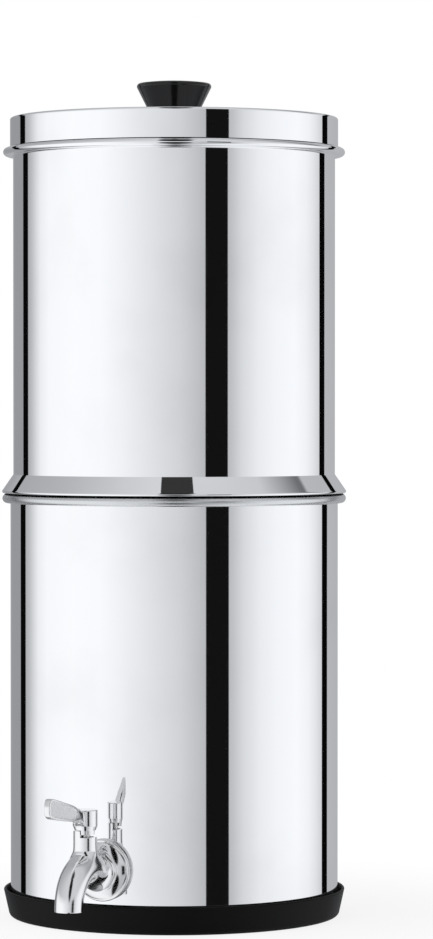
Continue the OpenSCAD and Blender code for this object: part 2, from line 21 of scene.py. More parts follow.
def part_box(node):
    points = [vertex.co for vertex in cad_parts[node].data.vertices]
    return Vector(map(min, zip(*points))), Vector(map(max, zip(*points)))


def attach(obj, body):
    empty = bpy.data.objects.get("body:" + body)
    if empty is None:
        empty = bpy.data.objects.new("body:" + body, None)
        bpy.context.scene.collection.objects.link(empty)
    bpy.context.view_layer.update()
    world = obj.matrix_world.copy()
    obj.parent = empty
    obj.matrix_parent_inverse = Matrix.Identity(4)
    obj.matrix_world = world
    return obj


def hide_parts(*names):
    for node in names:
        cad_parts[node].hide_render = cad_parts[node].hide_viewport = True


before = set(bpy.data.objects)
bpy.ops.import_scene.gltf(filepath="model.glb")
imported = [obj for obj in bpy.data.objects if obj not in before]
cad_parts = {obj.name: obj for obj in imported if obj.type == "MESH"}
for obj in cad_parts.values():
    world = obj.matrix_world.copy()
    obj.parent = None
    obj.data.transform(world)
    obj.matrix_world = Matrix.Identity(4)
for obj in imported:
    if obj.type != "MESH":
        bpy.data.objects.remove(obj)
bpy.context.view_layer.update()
log = logging.getLogger("water_filter")

MM = 0.001
WELD = 1e-7  # points closer than this are one point


# ---- drawing and spinning ----

def verts_of(made: list[object]) -> list[BMVert]:
    """The vertices among the things that an operator made."""
    return [part for part in made if isinstance(part, BMVert)]


class Pen:
    """Draws the outline of a spun piece on the half plane of radius and height."""

    def __init__(self, r: float, z: float) -> None:
        """Puts the pen down.

        Args:
            r: Radius of the first point.
            z: Its height.
        """
        self.mesh = bmesh.new()
        self.tip = self.first = self.mesh.verts.new((r, 0.0, z))
        self.start = self.tip.co.copy()
        self.second: Vector | None = None

    def _draw(self, end: Vector) -> None:
        """Extrudes the tip to a new point.

        Args:
            end: The new point.
        """
        made = bmesh.ops.extrude_vert_indiv(self.mesh, verts=[self.tip])["verts"][0]
        bmesh.ops.translate(self.mesh, verts=[made], vec=end - made.co)
        self.second = self.second or made.co.copy()
        self.tip = made

    def line(self, r: float, z: float, hold: float = 0.0) -> "Pen":
        """Draws a straight line.

        Args:
            r: Radius of its end.
            z: Height of its end.
            hold: Distance from each end of a point that keeps the face flat between them.

        Returns:
            The pen, at the line's end.
        """
        start, end = self.tip.co.copy(), Vector((r, 0.0, z))
        span = (end - start).length
        if hold and span > 3 * hold:
            near = (end - start) * (hold / span)
            self._draw(start + near)
            self._draw(end - near)
        self._draw(end)
        return self

    def arc(self, r: float, z: float, angle: float, step: float = 9.0) -> "Pen":
        """Swings the tip round a centre.

        Args:
            r: Radius of the centre.
            z: Height of the centre.
            angle: Degrees of the swing, anticlockwise if it is positive.
            step: Most degrees between two points.

        Returns:
            The pen, at the arc's end.
        """
        made = bmesh.ops.spin(
            self.mesh, geom=[self.tip], cent=(r, 0, z), axis=(0, -1, 0), dvec=(0, 0, 0),
            angle=math.radians(angle), steps=max(2, math.ceil(abs(angle) / step)))
        self.tip = verts_of(made["geom_last"])[0]
        return self

    def sector(self, start: float, angle: float, step: float = 6.0) -> BMesh:
        """Closes the outline and sweeps it round Z as a solid sector.

        Args:
            start: Azimuth of the first end, in degrees from the X axis.
            angle: Degrees of the sweep, anticlockwise.
            step: Most degrees between two sections.

        Returns:
            The closed mesh.
        """
        bmesh.ops.contextual_create(self.mesh, geom=[self.tip, self.first])
        end = bmesh.ops.contextual_create(self.mesh, geom=self.mesh.edges[:])["faces"]
        bmesh.ops.rotate(self.mesh, verts=self.mesh.verts, cent=(0, 0, 0),
                         matrix=Matrix.Rotation(math.radians(start), 3, "Z"))
        bmesh.ops.spin(self.mesh, geom=end, cent=(0, 0, 0), axis=(0, 0, 1), dvec=(0, 0, 0),
                       angle=math.radians(angle), steps=math.ceil(angle / step))
        bmesh.ops.recalc_face_normals(self.mesh, faces=self.mesh.faces)
        return self.mesh

    def spin(self, sides: int) -> BMesh:
        """Spins the outline once round Z.

        Args:
            sides: Number of steps in the turn.

        Returns:
            The spun mesh, with closed poles and its faces looking to the right of the outline.
        """
        run = self.second - self.start
        middle = self.start + run / 2
        bmesh.ops.spin(
            self.mesh, geom=self.mesh.verts[:] + self.mesh.edges[:], cent=(0, 0, 0),
            axis=(0, 0, 1), dvec=(0, 0, 0), angle=math.tau, steps=sides, use_merge=True)
        bmesh.ops.remove_doubles(self.mesh, verts=self.mesh.verts, dist=WELD)
        bmesh.ops.recalc_face_normals(self.mesh, faces=self.mesh.faces)
        nearest = min(self.mesh.faces, key=lambda face: (face.calc_center_median() - middle).length)
        if nearest.normal.dot(Vector((run.z, 0, -run.x))) < 0:
            bmesh.ops.reverse_faces(self.mesh, faces=self.mesh.faces)
        return self.mesh


def touch(point: Vector, centre: Vector, radius: float, side: int) -> float:
    """The angle at which a line from a point touches a circle.

    Args:
        point: Where the line starts.
        centre: Centre of the circle.
        radius: Its radius.
        side: 1 or -1, for the circle's left or right side as the point sees it.

    Returns:
        The angle in degrees, from -180 to 180.
    """
    away = point - centre
    turn = math.atan2(away.y, away.x) + side * math.acos(radius / away.length)
    return math.degrees(math.atan2(math.sin(turn), math.cos(turn)))


def sheet_metal(mesh: BMesh, thickness: float) -> None:
    """Gives a spun surface the thickness of its sheet, inwards.

    Args:
        mesh: The surface, with its faces outwards. Its outer face keeps material index 0, and
            the inner one gets 1.
        thickness: Thickness of the sheet.
    """
    outer = mesh.faces[:]
    bmesh.ops.solidify(mesh, geom=outer, thickness=thickness)
    for face in set(mesh.faces) - set(outer):
        face.material_index = 1


def join_solids(operation: str, base: BMesh, *others: BMesh) -> BMesh:
    """Adds solids to a solid or cuts them from it.

    Args:
        operation: "UNION" or "DIFFERENCE".
        base: The first solid.
        others: The solids to add or cut.

    Returns:
        The new solid.
    """
    made = [new_object(mesh) for mesh in (base, *others)]
    for other in made[1:]:
        cut = made[0].modifiers.new("join", "BOOLEAN")
        cut.operation = operation
        cut.solver = "EXACT"
        cut.object = other
    return baked(made)


def new_object(mesh: BMesh, name: str = "scratch") -> Object:
    """Puts a mesh in an object of the scene.

    Args:
        mesh: The mesh, which is used up.
        name: The object's name. A scratch object lasts until it is baked.

    Returns:
        The object.
    """
    data = bpy.data.meshes.new(name)
    mesh.to_mesh(data)
    mesh.free()
    made = bpy.data.objects.new(name, data)
    bpy.context.scene.collection.objects.link(made)
    return made


def baked(made: list[Object]) -> BMesh:
    """Applies the first object's modifiers and removes all the scratch objects.

    Args:
        made: The scratch objects.

    Returns:
        The first object's finished mesh.
    """
    mesh = bmesh.new()
    mesh.from_object(made[0], bpy.context.evaluated_depsgraph_get())
    for scratch in made:
        bpy.data.meshes.remove(scratch.data)
    return mesh


@dataclass(frozen=True)
class Station:
    """One ring of a casting whose axis bends in the plane of the tap.

    Its centre lies at a reach from the vessel's axis and a height, and its axis climbs by so
    many degrees. A crease, from 0 to 1, keeps it sharp when the casting is smoothed.
    """

    reach: float
    z: float
    climb: float
    r: float
    crease: float = 0.0

    def matrix(self) -> Matrix:
        """Works out the ring's place.

        Returns:
            What takes a ring of radius 1 there, swelled to allow for the subdivision.
        """
        turn = math.radians(self.climb)
        swell = 3 / (2 + math.cos(math.tau / Cage.SIDES))
        place = Matrix(((1, 0, 0), (0, math.sin(turn), -math.cos(turn)),
                        (0, math.cos(turn), math.sin(turn)))).to_4x4()
        place.translation = (0, -self.reach, self.z)
        return place @ Matrix.Scale(self.r * swell, 4)


class Cage:
    """A coarse mesh that subdivision turns into a smooth casting."""

    SIDES = 16
    LEVELS = 3

    def __init__(self) -> None:
        """Starts an empty cage."""
        self.mesh = bmesh.new()
        self.creases = self.mesh.edges.layers.float.new("crease_edge")

    def loft(self, stations: list[Station]) -> tuple[list[BMEdge], list[BMEdge]]:
        """Draws a tube through a row of rings.

        Args:
            stations: The rings.

        Returns:
            The edges of the first and of the last ring.
        """
        made = bmesh.ops.create_circle(self.mesh, segments=self.SIDES, radius=1,
                                       matrix=stations[0].matrix())
        ring = list({edge for vert in made["verts"] for edge in vert.link_edges})
        first = ring
        for here, there in zip(stations, stations[1:]):
            grown = bmesh.ops.extrude_edge_only(self.mesh, edges=ring)["geom"]
            verts = verts_of(grown)
            ring = [part for part in grown if isinstance(part, BMEdge)
                    and set(verts).issuperset(part.verts)]
            bmesh.ops.transform(self.mesh, verts=verts,
                                matrix=there.matrix() @ here.matrix().inverted())
            for edge in ring:
                edge[self.creases] = there.crease
        return first, ring

    def crease_steps(self, low: float, crease: float, sharper_than: float = 50.0) -> None:
        """Creases the sharp edges above a height.

        Args:
            low: The height.
            crease: How sharp they stay, from 0 to 1.
            sharper_than: Least angle between an edge's faces, in degrees.
        """
        for edge in self.mesh.edges:
            if min(vert.co.z for vert in edge.verts) > low and len(edge.link_faces) == 2 \
                    and edge.calc_face_angle() > math.radians(sharper_than):
                edge[self.creases] = crease

    def smoothed(self) -> BMesh:
        """Subdivides the cage by the Catmull-Clark rule.

        Returns:
            The smooth mesh.
        """
        bmesh.ops.recalc_face_normals(self.mesh, faces=self.mesh.faces)
        cage = new_object(self.mesh)
        smooth = cage.modifiers.new("smooth", "SUBSURF")
        smooth.levels = smooth.render_levels = self.LEVELS
        return baked([cage])


def mark_faces(mesh: BMesh, index: int, below: float, beyond: float = 0.0) -> None:
    """Gives another material to the faces of a spun piece that lie low and far out.

    Args:
        mesh: The mesh.
        index: The material's index.
        below: Height that the faces' centres stay under.
        beyond: Radius that they lie beyond.
    """
    for face in mesh.faces:
        middle = face.calc_center_median()
        if middle.z < below and middle.xy.length > beyond:
            face.material_index = index


# ---- materials ----

def linear(level: float) -> float:
    """The scene-linear value of a display level from 0 to 255."""
    share = level / 255
    return share / 12.92 if share <= 0.04045 else ((share + 0.055) / 1.055) ** 2.4


class Nodes:
    """Short calls to add and join the nodes of one tree."""

    def __init__(self, tree: NodeTree) -> None:
        """Empties a tree to fill it anew."""
        self.tree = tree
        tree.nodes.clear()

    def add(self, kind: str, inputs: dict[str, object] | None = None, **settings: object) -> Node:
        """Adds a node.

        Args:
            kind: Its type's name.
            inputs: What feeds its inputs, by their names.
            settings: Its properties.

        Returns:
            The node.
        """
        node = self.tree.nodes.new(kind)
        for name, value in settings.items():
            setattr(node, name, value)
        for name, value in (inputs or {}).items():
            self.feed(node.inputs[name], value)
        return node

    def feed(self, socket: NodeSocket, value: object) -> None:
        """Gives an input its value.

        Args:
            socket: The input.
            value: A socket, or what the input itself takes. A colour has four numbers.
        """
        if isinstance(value, NodeSocket):
            self.tree.links.new(value, socket)
        else:
            socket.default_value = value

    def math(self, operation: str, *values: object, clamp: bool = False) -> NodeSocket:
        """Adds a Math node.

        Args:
            operation: Its operation.
            values: A number or a socket for each of its inputs.
            clamp: Whether the result stays between 0 and 1.

        Returns:
            Its output socket.
        """
        node = self.add("ShaderNodeMath", operation=operation, use_clamp=clamp)
        for socket, value in zip(node.inputs, values):
            self.feed(socket, value)
        return node.outputs[0]

    def noise(self, place: NodeSocket, scale: object, detail: float = 3.0) -> NodeSocket:
        """Adds a Noise Texture.

        Args:
            place: The coordinates that it reads.
            scale: A number or a socket.
            detail: Its finest octave.

        Returns:
            Its value.
        """
        inputs = {"Vector": place, "Scale": scale, "Detail": detail}
        return self.add("ShaderNodeTexNoise", inputs).outputs[0]

    def mix(self, factor: NodeSocket, a: object, b: object) -> NodeSocket:
        """Mixes two colours.

        Args:
            factor: How far the mix goes from the first to the second.
            a: The first, as a socket or a colour of three numbers.
            b: The second.

        Returns:
            The mixed colour.
        """
        first, second = ((*tone, 1) if isinstance(tone, tuple) else tone for tone in (a, b))
        inputs = {"Factor": factor, "A": first, "B": second}
        return self.add("ShaderNodeMix", inputs, data_type="RGBA").outputs["Result"]

    def window(self, value: NodeSocket, low: float, high: float, soft: float) -> NodeSocket:
        """Makes a mask that is 1 between two values.

        Args:
            value: What it looks at.
            low: The lower value.
            high: The higher value.
            soft: Width over which it falls to 0, half of it on each side of a value.

        Returns:
            The mask.
        """
        middle, half = (low + high) / 2, (high - low) / 2
        away = self.math("ABSOLUTE", self.math("SUBTRACT", value, middle))
        return self.math("MULTIPLY_ADD", away, -1 / soft, half / soft + 0.5, clamp=True)

    def place(self) -> NodeSocket:
        """The point's place in the piece's own coordinates."""
        return self.add("ShaderNodeTexCoord").outputs["Object"]

    def axes(self) -> list[NodeSocket]:
        """The x, y and z of the point's place."""
        return list(self.add("ShaderNodeSeparateXYZ", {"Vector": self.place()}).outputs)

    def remap(self, value: NodeSocket, kind: str, low: float, high: float,
              to: tuple[float, float] = (0.0, 1.0)) -> NodeSocket:
        """Maps one range of values to another, and holds it at the ends.

        Args:
            value: The value.
            kind: "LINEAR" or "SMOOTHSTEP".
            low: Start of its range.
            high: End of its range.
            to: The new range.

        Returns:
            The new value.
        """
        inputs = {"Value": value, "From Min": low, "From Max": high, "To Min": to[0],
                  "To Max": to[1]}
        return self.add("ShaderNodeMapRange", inputs, interpolation_type=kind).outputs[0]

    def seen(self) -> NodeSocket:
        """Makes a mask of what the camera sees, straight or in metal and glass.

        Returns:
            The mask.
        """
        paths = self.add("ShaderNodeLightPath")
        near = self.math("MAXIMUM", paths.outputs["Is Camera Ray"], paths.outputs["Is Glossy Ray"])
        return self.math("MAXIMUM", near, paths.outputs["Is Transmission Ray"])

    def relief(self, height: NodeSocket) -> NodeSocket:
        """The normal of a relief whose height is in millimetres."""
        return self.add("ShaderNodeBump", {"Distance": MM, "Height": height}).outputs[0]

    def show(self, shader: Node, kind: str = "ShaderNodeOutputMaterial") -> None:
        """Makes a shader what the tree puts out."""
        self.add(kind, {"Surface": shader.outputs[0]})


def new_material(name: str) -> tuple[Material, Nodes]:
    """Makes a material with an empty node tree.

    Args:
        name: The material's name.

    Returns:
        The material and its nodes.
    """
    material = bpy.data.materials.new(name)
    material.use_nodes = True
    return material, Nodes(material.node_tree)


def shader_group(name: str, inputs: dict[str, float],
                 outputs: tuple[str, ...]) -> tuple[Nodes, Node]:
    """Starts a shader node group whose sockets are all numbers.

    Args:
        name: The group's name.
        inputs: Each input's name and default value.
        outputs: Each output's name.

    Returns:
        The group's nodes, and the node with its inputs.
    """
    tree = bpy.data.node_groups.new(name, "ShaderNodeTree")
    nodes = Nodes(tree)
    for socket, value in inputs.items():
        made = tree.interface.new_socket(name=socket, in_out="INPUT", socket_type="NodeSocketFloat")
        made.default_value = value
    for socket in outputs:
        tree.interface.new_socket(name=socket, in_out="OUTPUT", socket_type="NodeSocketFloat")
    return nodes, nodes.add("NodeGroupInput")


def lathe_marks() -> NodeTree:
    """Builds the fine rings that spinning and polishing leave round a piece's axis.

    Returns:
        The node group.
    """
    nodes, given = shader_group("lathe marks", {"Rings per metre": 1500.0}, ("Height", "Mask"))
    x, y, z = nodes.axes()
    radius = nodes.math("SQRT", nodes.math("ADD", nodes.math("MULTIPLY", x, x),
                                           nodes.math("MULTIPLY", y, y)))
    rings = nodes.add("ShaderNodeCombineXYZ", {"X": radius, "Z": z})
    fine = nodes.noise(rings.outputs[0], given.outputs["Rings per metre"], detail=2.0)
    height = nodes.math("SUBTRACT", fine, 0.5)
    mask = nodes.math("ADD", height, 0.5, clamp=True)
    nodes.add("NodeGroupOutput", {"Height": height, "Mask": mask})
    return nodes.tree


def handling_marks() -> NodeTree:
    """Builds the soft smudges and wiped streaks of a handled surface.

    Returns:
        The node group.
    """
    nodes, given = shader_group(
        "handling marks", {"Scale": 14.0, "Streaks": 60.0}, ("Smudge", "Streak"))
    place = nodes.place()
    cloud = nodes.noise(place, given.outputs["Scale"], detail=4.0)
    smudge = nodes.remap(cloud, "SMOOTHSTEP", 0.45, 0.75)
    wipe = nodes.add("ShaderNodeMapping", {"Vector": place, "Rotation": (0.3, 0.5, 0.4),
                                           "Scale": (1.0, 0.06, 1.0)})
    streak = nodes.noise(wipe.outputs[0], given.outputs["Streaks"], detail=3.0)
    nodes.add("NodeGroupOutput", {"Smudge": smudge, "Streak": streak})
    return nodes.tree


def moulded_grain() -> NodeTree:
    """Builds the fine grain of a moulded or pressed surface.

    Returns:
        The node group.
    """
    nodes, given = shader_group(
        "moulded grain", {"Scale": 900.0, "Patches": 25.0}, ("Height", "Tone"))
    place = nodes.place()
    height = nodes.noise(place, given.outputs["Scale"], detail=3.0)
    tone = nodes.noise(place, given.outputs["Patches"], detail=4.0)
    nodes.add("NodeGroupOutput", {"Height": height, "Tone": tone})
    return nodes.tree


class Effects:
    """The node groups that several finishes share."""

    def __init__(self) -> None:
        """Builds each group once."""
        self.lathe = lathe_marks()
        self.handling = handling_marks()
        self.grain = moulded_grain()


@dataclass(frozen=True)
class Steel:
    """A polished or satin steel finish."""

    name: str
    tone: tuple[float, float, float] = (0.93, 0.935, 0.945)
    dull_tone: tuple[float, float, float] = (0.88, 0.885, 0.895)
    roughness: float = 0.03
    smudged: float = 0.02
    rings: float = 1500.0
    ring_roughness: float = 0.01
    ring_depth: float = 0.0
    streak_depth: float = 0.0

    def material(self, effects: Effects) -> Material:
        """Builds the finish's material.

        Args:
            effects: The shared node groups.

        Returns:
            The material.
        """
        material, nodes = new_material(self.name)
        lathe = nodes.add("ShaderNodeGroup", {"Rings per metre": self.rings},
                          node_tree=effects.lathe)
        marks = nodes.add("ShaderNodeGroup", node_tree=effects.handling)
        smudge, streak = marks.outputs["Smudge"], marks.outputs["Streak"]
        rough = nodes.math("MULTIPLY_ADD", smudge, self.smudged, self.roughness)
        rough = nodes.math("MULTIPLY_ADD", lathe.outputs["Mask"], self.ring_roughness, rough)
        height = nodes.math("MULTIPLY", lathe.outputs["Height"], self.ring_depth)
        height = nodes.math("MULTIPLY_ADD", streak, self.streak_depth, height)
        nodes.show(nodes.add("ShaderNodeBsdfPrincipled", {
            "Base Color": nodes.mix(smudge, self.tone, self.dull_tone), "Metallic": 1.0,
            "Roughness": rough, "Normal": nodes.relief(height)}))
        return material


@dataclass(frozen=True)
class Moulding:
    """A rubber, plastic or pressed-carbon finish."""

    name: str
    tone: tuple[float, float, float]
    other_tone: tuple[float, float, float]
    roughness: float = 0.4
    uneven: float = 0.1
    specular: float = 0.5
    coat: float = 0.0
    coat_roughness: float = 0.03
    grain_scale: float = 900.0
    grain_depth: float = 0.02
    patches: float = 25.0

    def material(self, effects: Effects) -> Material:
        """Builds the finish's material.

        Args:
            effects: The shared node groups.

        Returns:
            The material.
        """
        material, nodes = new_material(self.name)
        grain = nodes.add("ShaderNodeGroup", {"Scale": self.grain_scale, "Patches": self.patches},
                          node_tree=effects.grain)
        patch = grain.outputs["Tone"]
        rough = nodes.math("MULTIPLY_ADD", patch, self.uneven, self.roughness - self.uneven / 2)
        height = nodes.math("MULTIPLY", grain.outputs["Height"], self.grain_depth)
        nodes.show(nodes.add("ShaderNodeBsdfPrincipled", {
            "Base Color": nodes.mix(patch, self.tone, self.other_tone), "Roughness": rough,
            "Specular IOR Level": self.specular, "Coat Weight": self.coat,
            "Coat Roughness": self.coat_roughness, "Normal": nodes.relief(height)}))
        return material


class Finish(Enum):
    """The finishes of the filter."""

    MIRROR = Steel("mirror steel", roughness=0.022, smudged=0.012, ring_roughness=0.003)
    SATIN = Steel("satin steel inside", roughness=0.2, smudged=0.06, ring_roughness=0.12,
                  ring_depth=0.02, tone=(0.72, 0.73, 0.74), dull_tone=(0.66, 0.665, 0.67))
    TAP = Steel("polished tap steel", roughness=0.12, smudged=0.05, streak_depth=0.01,
                tone=(0.9, 0.9, 0.9), dull_tone=(0.84, 0.84, 0.84))
    FLANGE = Steel("polished flange steel", roughness=0.1, smudged=0.04, rings=2500.0,
                   ring_depth=0.004, tone=(0.88, 0.88, 0.88), dull_tone=(0.82, 0.82, 0.82))
    ETCHED = Steel("etched panel steel", roughness=0.6, smudged=0.08, streak_depth=0.06,
                   tone=(0.93, 0.93, 0.93), dull_tone=(0.86, 0.86, 0.86))
    # Painted shade: near-black steel on the flare's underside and the lid skirt's lowest band,
    # standing in for the shade in the seams between the parts
    SEAM_SHADE = Steel("painted seam shade", roughness=0.5, smudged=0.1, streak_depth=0.05,
                 tone=(0.012, 0.012, 0.013), dull_tone=(0.02, 0.02, 0.02))
    FASTENER = Steel("fastener steel", roughness=0.25, smudged=0.1, streak_depth=0.04,
                     tone=(0.7, 0.7, 0.69), dull_tone=(0.6, 0.6, 0.59))
    RUBBER = Moulding("black base rubber", (0.003, 0.003, 0.003), (0.006, 0.006, 0.006),
                      roughness=0.45, uneven=0.12, specular=0.09, grain_depth=0.03)
    SEAL = Moulding("black seal rubber", (0.012, 0.012, 0.012), (0.02, 0.02, 0.02),
                    roughness=0.55, specular=0.3)
    KNOB = Moulding("gloss black plastic", (0.004, 0.004, 0.004), (0.006, 0.006, 0.006),
                    roughness=0.22, uneven=0.04, specular=0.25, coat=0.35, grain_depth=0.004,
                    grain_scale=400.0)
    CAP = Moulding("white cap plastic", (0.74, 0.74, 0.72), (0.68, 0.68, 0.655),
                   roughness=0.35, uneven=0.1, specular=0.4)
    CARBON = Moulding("pressed carbon", (0.012, 0.012, 0.013), (0.035, 0.035, 0.036),
                      roughness=0.85, uneven=0.2, specular=0.15, grain_scale=1400.0,
                      grain_depth=0.35, patches=260.0)


class Palette:
    """Builds each finish's material once and hands it out."""

    def __init__(self) -> None:
        """Builds every material."""
        effects = Effects()
        self.materials = {finish: finish.value.material(effects) for finish in Finish}

    def dress_node(self, name: str, finish: Finish) -> None:
        """Gives a frame node one finish.

        Args:
            name: The node's name.
            finish: Its finish.
        """
        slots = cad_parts[name].data.materials
        slots.clear()
        slots.append(self.materials[finish])
        log.info("%s keeps its frame mesh, in %s", name, finish.name.lower())

    def finish_piece(self, name: str, mesh: BMesh, body: str, slot: str,
                     finishes: tuple[Finish, ...], *nodes: str,
                     sharp: float = 32.0) -> Object:
        """Makes an object of a mesh, smooths and dresses it, and puts it on its body.

        Args:
            name: The piece's name.
            mesh: Its mesh, in place.
            body: The body that it rides on.
            slot: The record's material slot; not used.
            finishes: Its finishes, in the order of its material indices.
            nodes: The frame nodes that it stands for.
            sharp: Least angle of an edge that stays sharp, in degrees.

        Returns:
            The object.
        """
        piece = new_object(mesh, name)
        for finish in finishes:
            piece.data.materials.append(self.materials[finish])
        piece.data.shade_smooth()
        piece.data.set_sharp_from_angle(angle=math.radians(sharp))
        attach(piece, body)
        if nodes:
            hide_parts(*nodes)
        log.info("%s: %d faces on %s", name, len(piece.data.polygons), body)
        return piece


class KeptPieces:
    """Inner pieces that keep the frame's meshes."""

    FINISHES: ClassVar[dict[str, Finish]] = {}

    def build(self, palette: Palette) -> None:
        """Gives each piece its finish."""
        for name, finish in self.FINISHES.items():
            palette.dress_node(name, finish)


class Elements(KeptPieces):
    """The carbon elements and what holds them."""

    FINISHES = {f"element_{part}_{side}": finish
                for side in ("left", "right")
                for part, finish in (("carbon", Finish.CARBON), ("cap", Finish.CAP),
                                     ("washer", Finish.SEAL), ("wing_nut", Finish.CAP))}


class Valve(KeptPieces):
    """The tap's inner pieces and what holds them."""

    FINISHES = {"tap_plug": Finish.FASTENER, "tap_plug_seals": Finish.SEAL,
                "tap_circlip": Finish.FASTENER, "tap_lever_screw": Finish.FASTENER,
                "tap_lock_nut": Finish.FASTENER, "tap_outer_washer": Finish.SEAL,
                "tap_inner_washer": Finish.SEAL}


# ---- vessel ----

@dataclass(frozen=True)
class VesselSizes:
    """Levels and radii of the steel vessel, most of them taken from the frame."""

    lower_z: float
    rim_z: float
    roll_out: float
    upper_z: float
    mouth_z: float
    skirt_z: float
    lid_r: float
    lid_top: float
    skirt_drop: float = 0.8 * MM  # how much lower the lid's skirt reaches than the frame's
    sheet: float = 0.8 * MM
    corner_r: float = 8 * MM
    roll_r: float = 2.9 * MM
    seat_gap: float = 0.3 * MM
    slip: float = 1 * MM  # between the lower chamber's mouth and the upper chamber's wall
    sides: int = 288

    @classmethod
    def from_frame(cls) -> "VesselSizes":
        """Reads the vessel's levels from the boxes of the frame's nodes.

        Returns:
            The sizes.
        """
        lower, upper, lid = (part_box(n) for n in ("lower_chamber", "upper_chamber", "lid"))
        return cls(lower_z=lower[0].z, rim_z=lower[1].z, roll_out=lower[1].x,
                   upper_z=upper[0].z, mouth_z=upper[1].z, skirt_z=lid[0].z - cls.skirt_drop,
                   lid_r=lid[1].x, lid_top=lid[1].z)

    @property
    def lower_in(self) -> float:
        """Inside radius of the lower chamber."""
        return self.roll_out - 2 * self.roll_r

    @property
    def lower_r(self) -> float:
        """Outside radius of the lower chamber's wall."""
        return self.lower_in + self.sheet

    @property
    def upper_r(self) -> float:
        """Outside radius of the upper chamber's wall."""
        return self.lower_in - self.slip

    @property
    def seat_z(self) -> float:
        """Height at which the upper chamber's flare stands."""
        return self.rim_z + self.seat_gap


@dataclass(frozen=True)
class BaseCup:
    """The rubber cup that the lower chamber stands in."""

    vessel: VesselSizes
    height: float = 17.3 * MM
    foot_reach: float = 1.2 * MM
    edge_r: float = 3.2 * MM
    lip_gap: float = 2.5 * MM
    lip_t: float = 1.7 * MM
    fit: float = 0.05 * MM

    def mesh(self) -> BMesh:
        """Spins the cup's outline.

        Returns:
            The closed mesh.
        """
        v = self.vessel
        foot = v.lower_r + self.foot_reach
        lip_r = self.lip_t / 2
        lip_mid = v.lower_r + self.lip_gap + lip_r
        lean = math.degrees(math.atan2(lip_mid + lip_r - foot, self.height))
        fit_r = v.corner_r + self.fit
        pen = Pen(0, 0)
        pen.line(foot - self.edge_r, 0, hold=1 * MM)
        pen.arc(foot - self.edge_r, self.edge_r, 90 - lean)
        lip_z = self.height - lip_r
        tilt = math.radians(-lean)
        pen.line(lip_mid + lip_r * math.cos(tilt), lip_z + lip_r * math.sin(tilt), hold=0.5 * MM)
        pen.arc(lip_mid, lip_z, 180 + lean)
        pen.line(v.lower_r + self.fit, v.lower_z + v.corner_r)
        pen.arc(v.lower_r - v.corner_r, v.lower_z + v.corner_r,
                -math.degrees(math.asin(v.corner_r / fit_r)))
        pen.line(0, v.lower_z, hold=1 * MM)
        return pen.spin(v.sides)

    def build(self, palette: Palette) -> None:
        """Models and dresses the cup."""
        palette.finish_piece("rubber_cup", self.mesh(), "lower", "base_rubber",
                             (Finish.RUBBER,), "base_cup")


@dataclass(frozen=True)
class LowerChamber:
    """The lower chamber, with its rolled rim."""

    vessel: VesselSizes
    curl_gap: float = 0.15 * MM

    def mesh(self) -> BMesh:
        """Spins the chamber's outer face and the rim that curls outwards.

        Returns:
            The open surface.
        """
        v = self.vessel
        pen = Pen(0, v.lower_z)
        pen.line(v.lower_r - v.corner_r, v.lower_z, hold=1 * MM)
        pen.arc(v.lower_r - v.corner_r, v.lower_z + v.corner_r, 90)
        pen.line(v.lower_r, v.rim_z - v.roll_r, hold=0.6 * MM)
        curl = math.degrees(math.acos((v.sheet + self.curl_gap - v.roll_r) / v.roll_r))
        pen.arc(v.lower_in + v.roll_r, v.rim_z - v.roll_r, -(180 + curl))
        return pen.spin(v.sides)

    def build(self, palette: Palette) -> None:
        """Models and dresses the chamber.

        Args:
            palette: The finishes' materials.
        """
        mesh = self.mesh()
        sheet_metal(mesh, self.vessel.sheet)
        palette.finish_piece("lower_shell", mesh, "lower", "chamber_steel",
                             (Finish.MIRROR, Finish.SATIN), "lower_chamber")


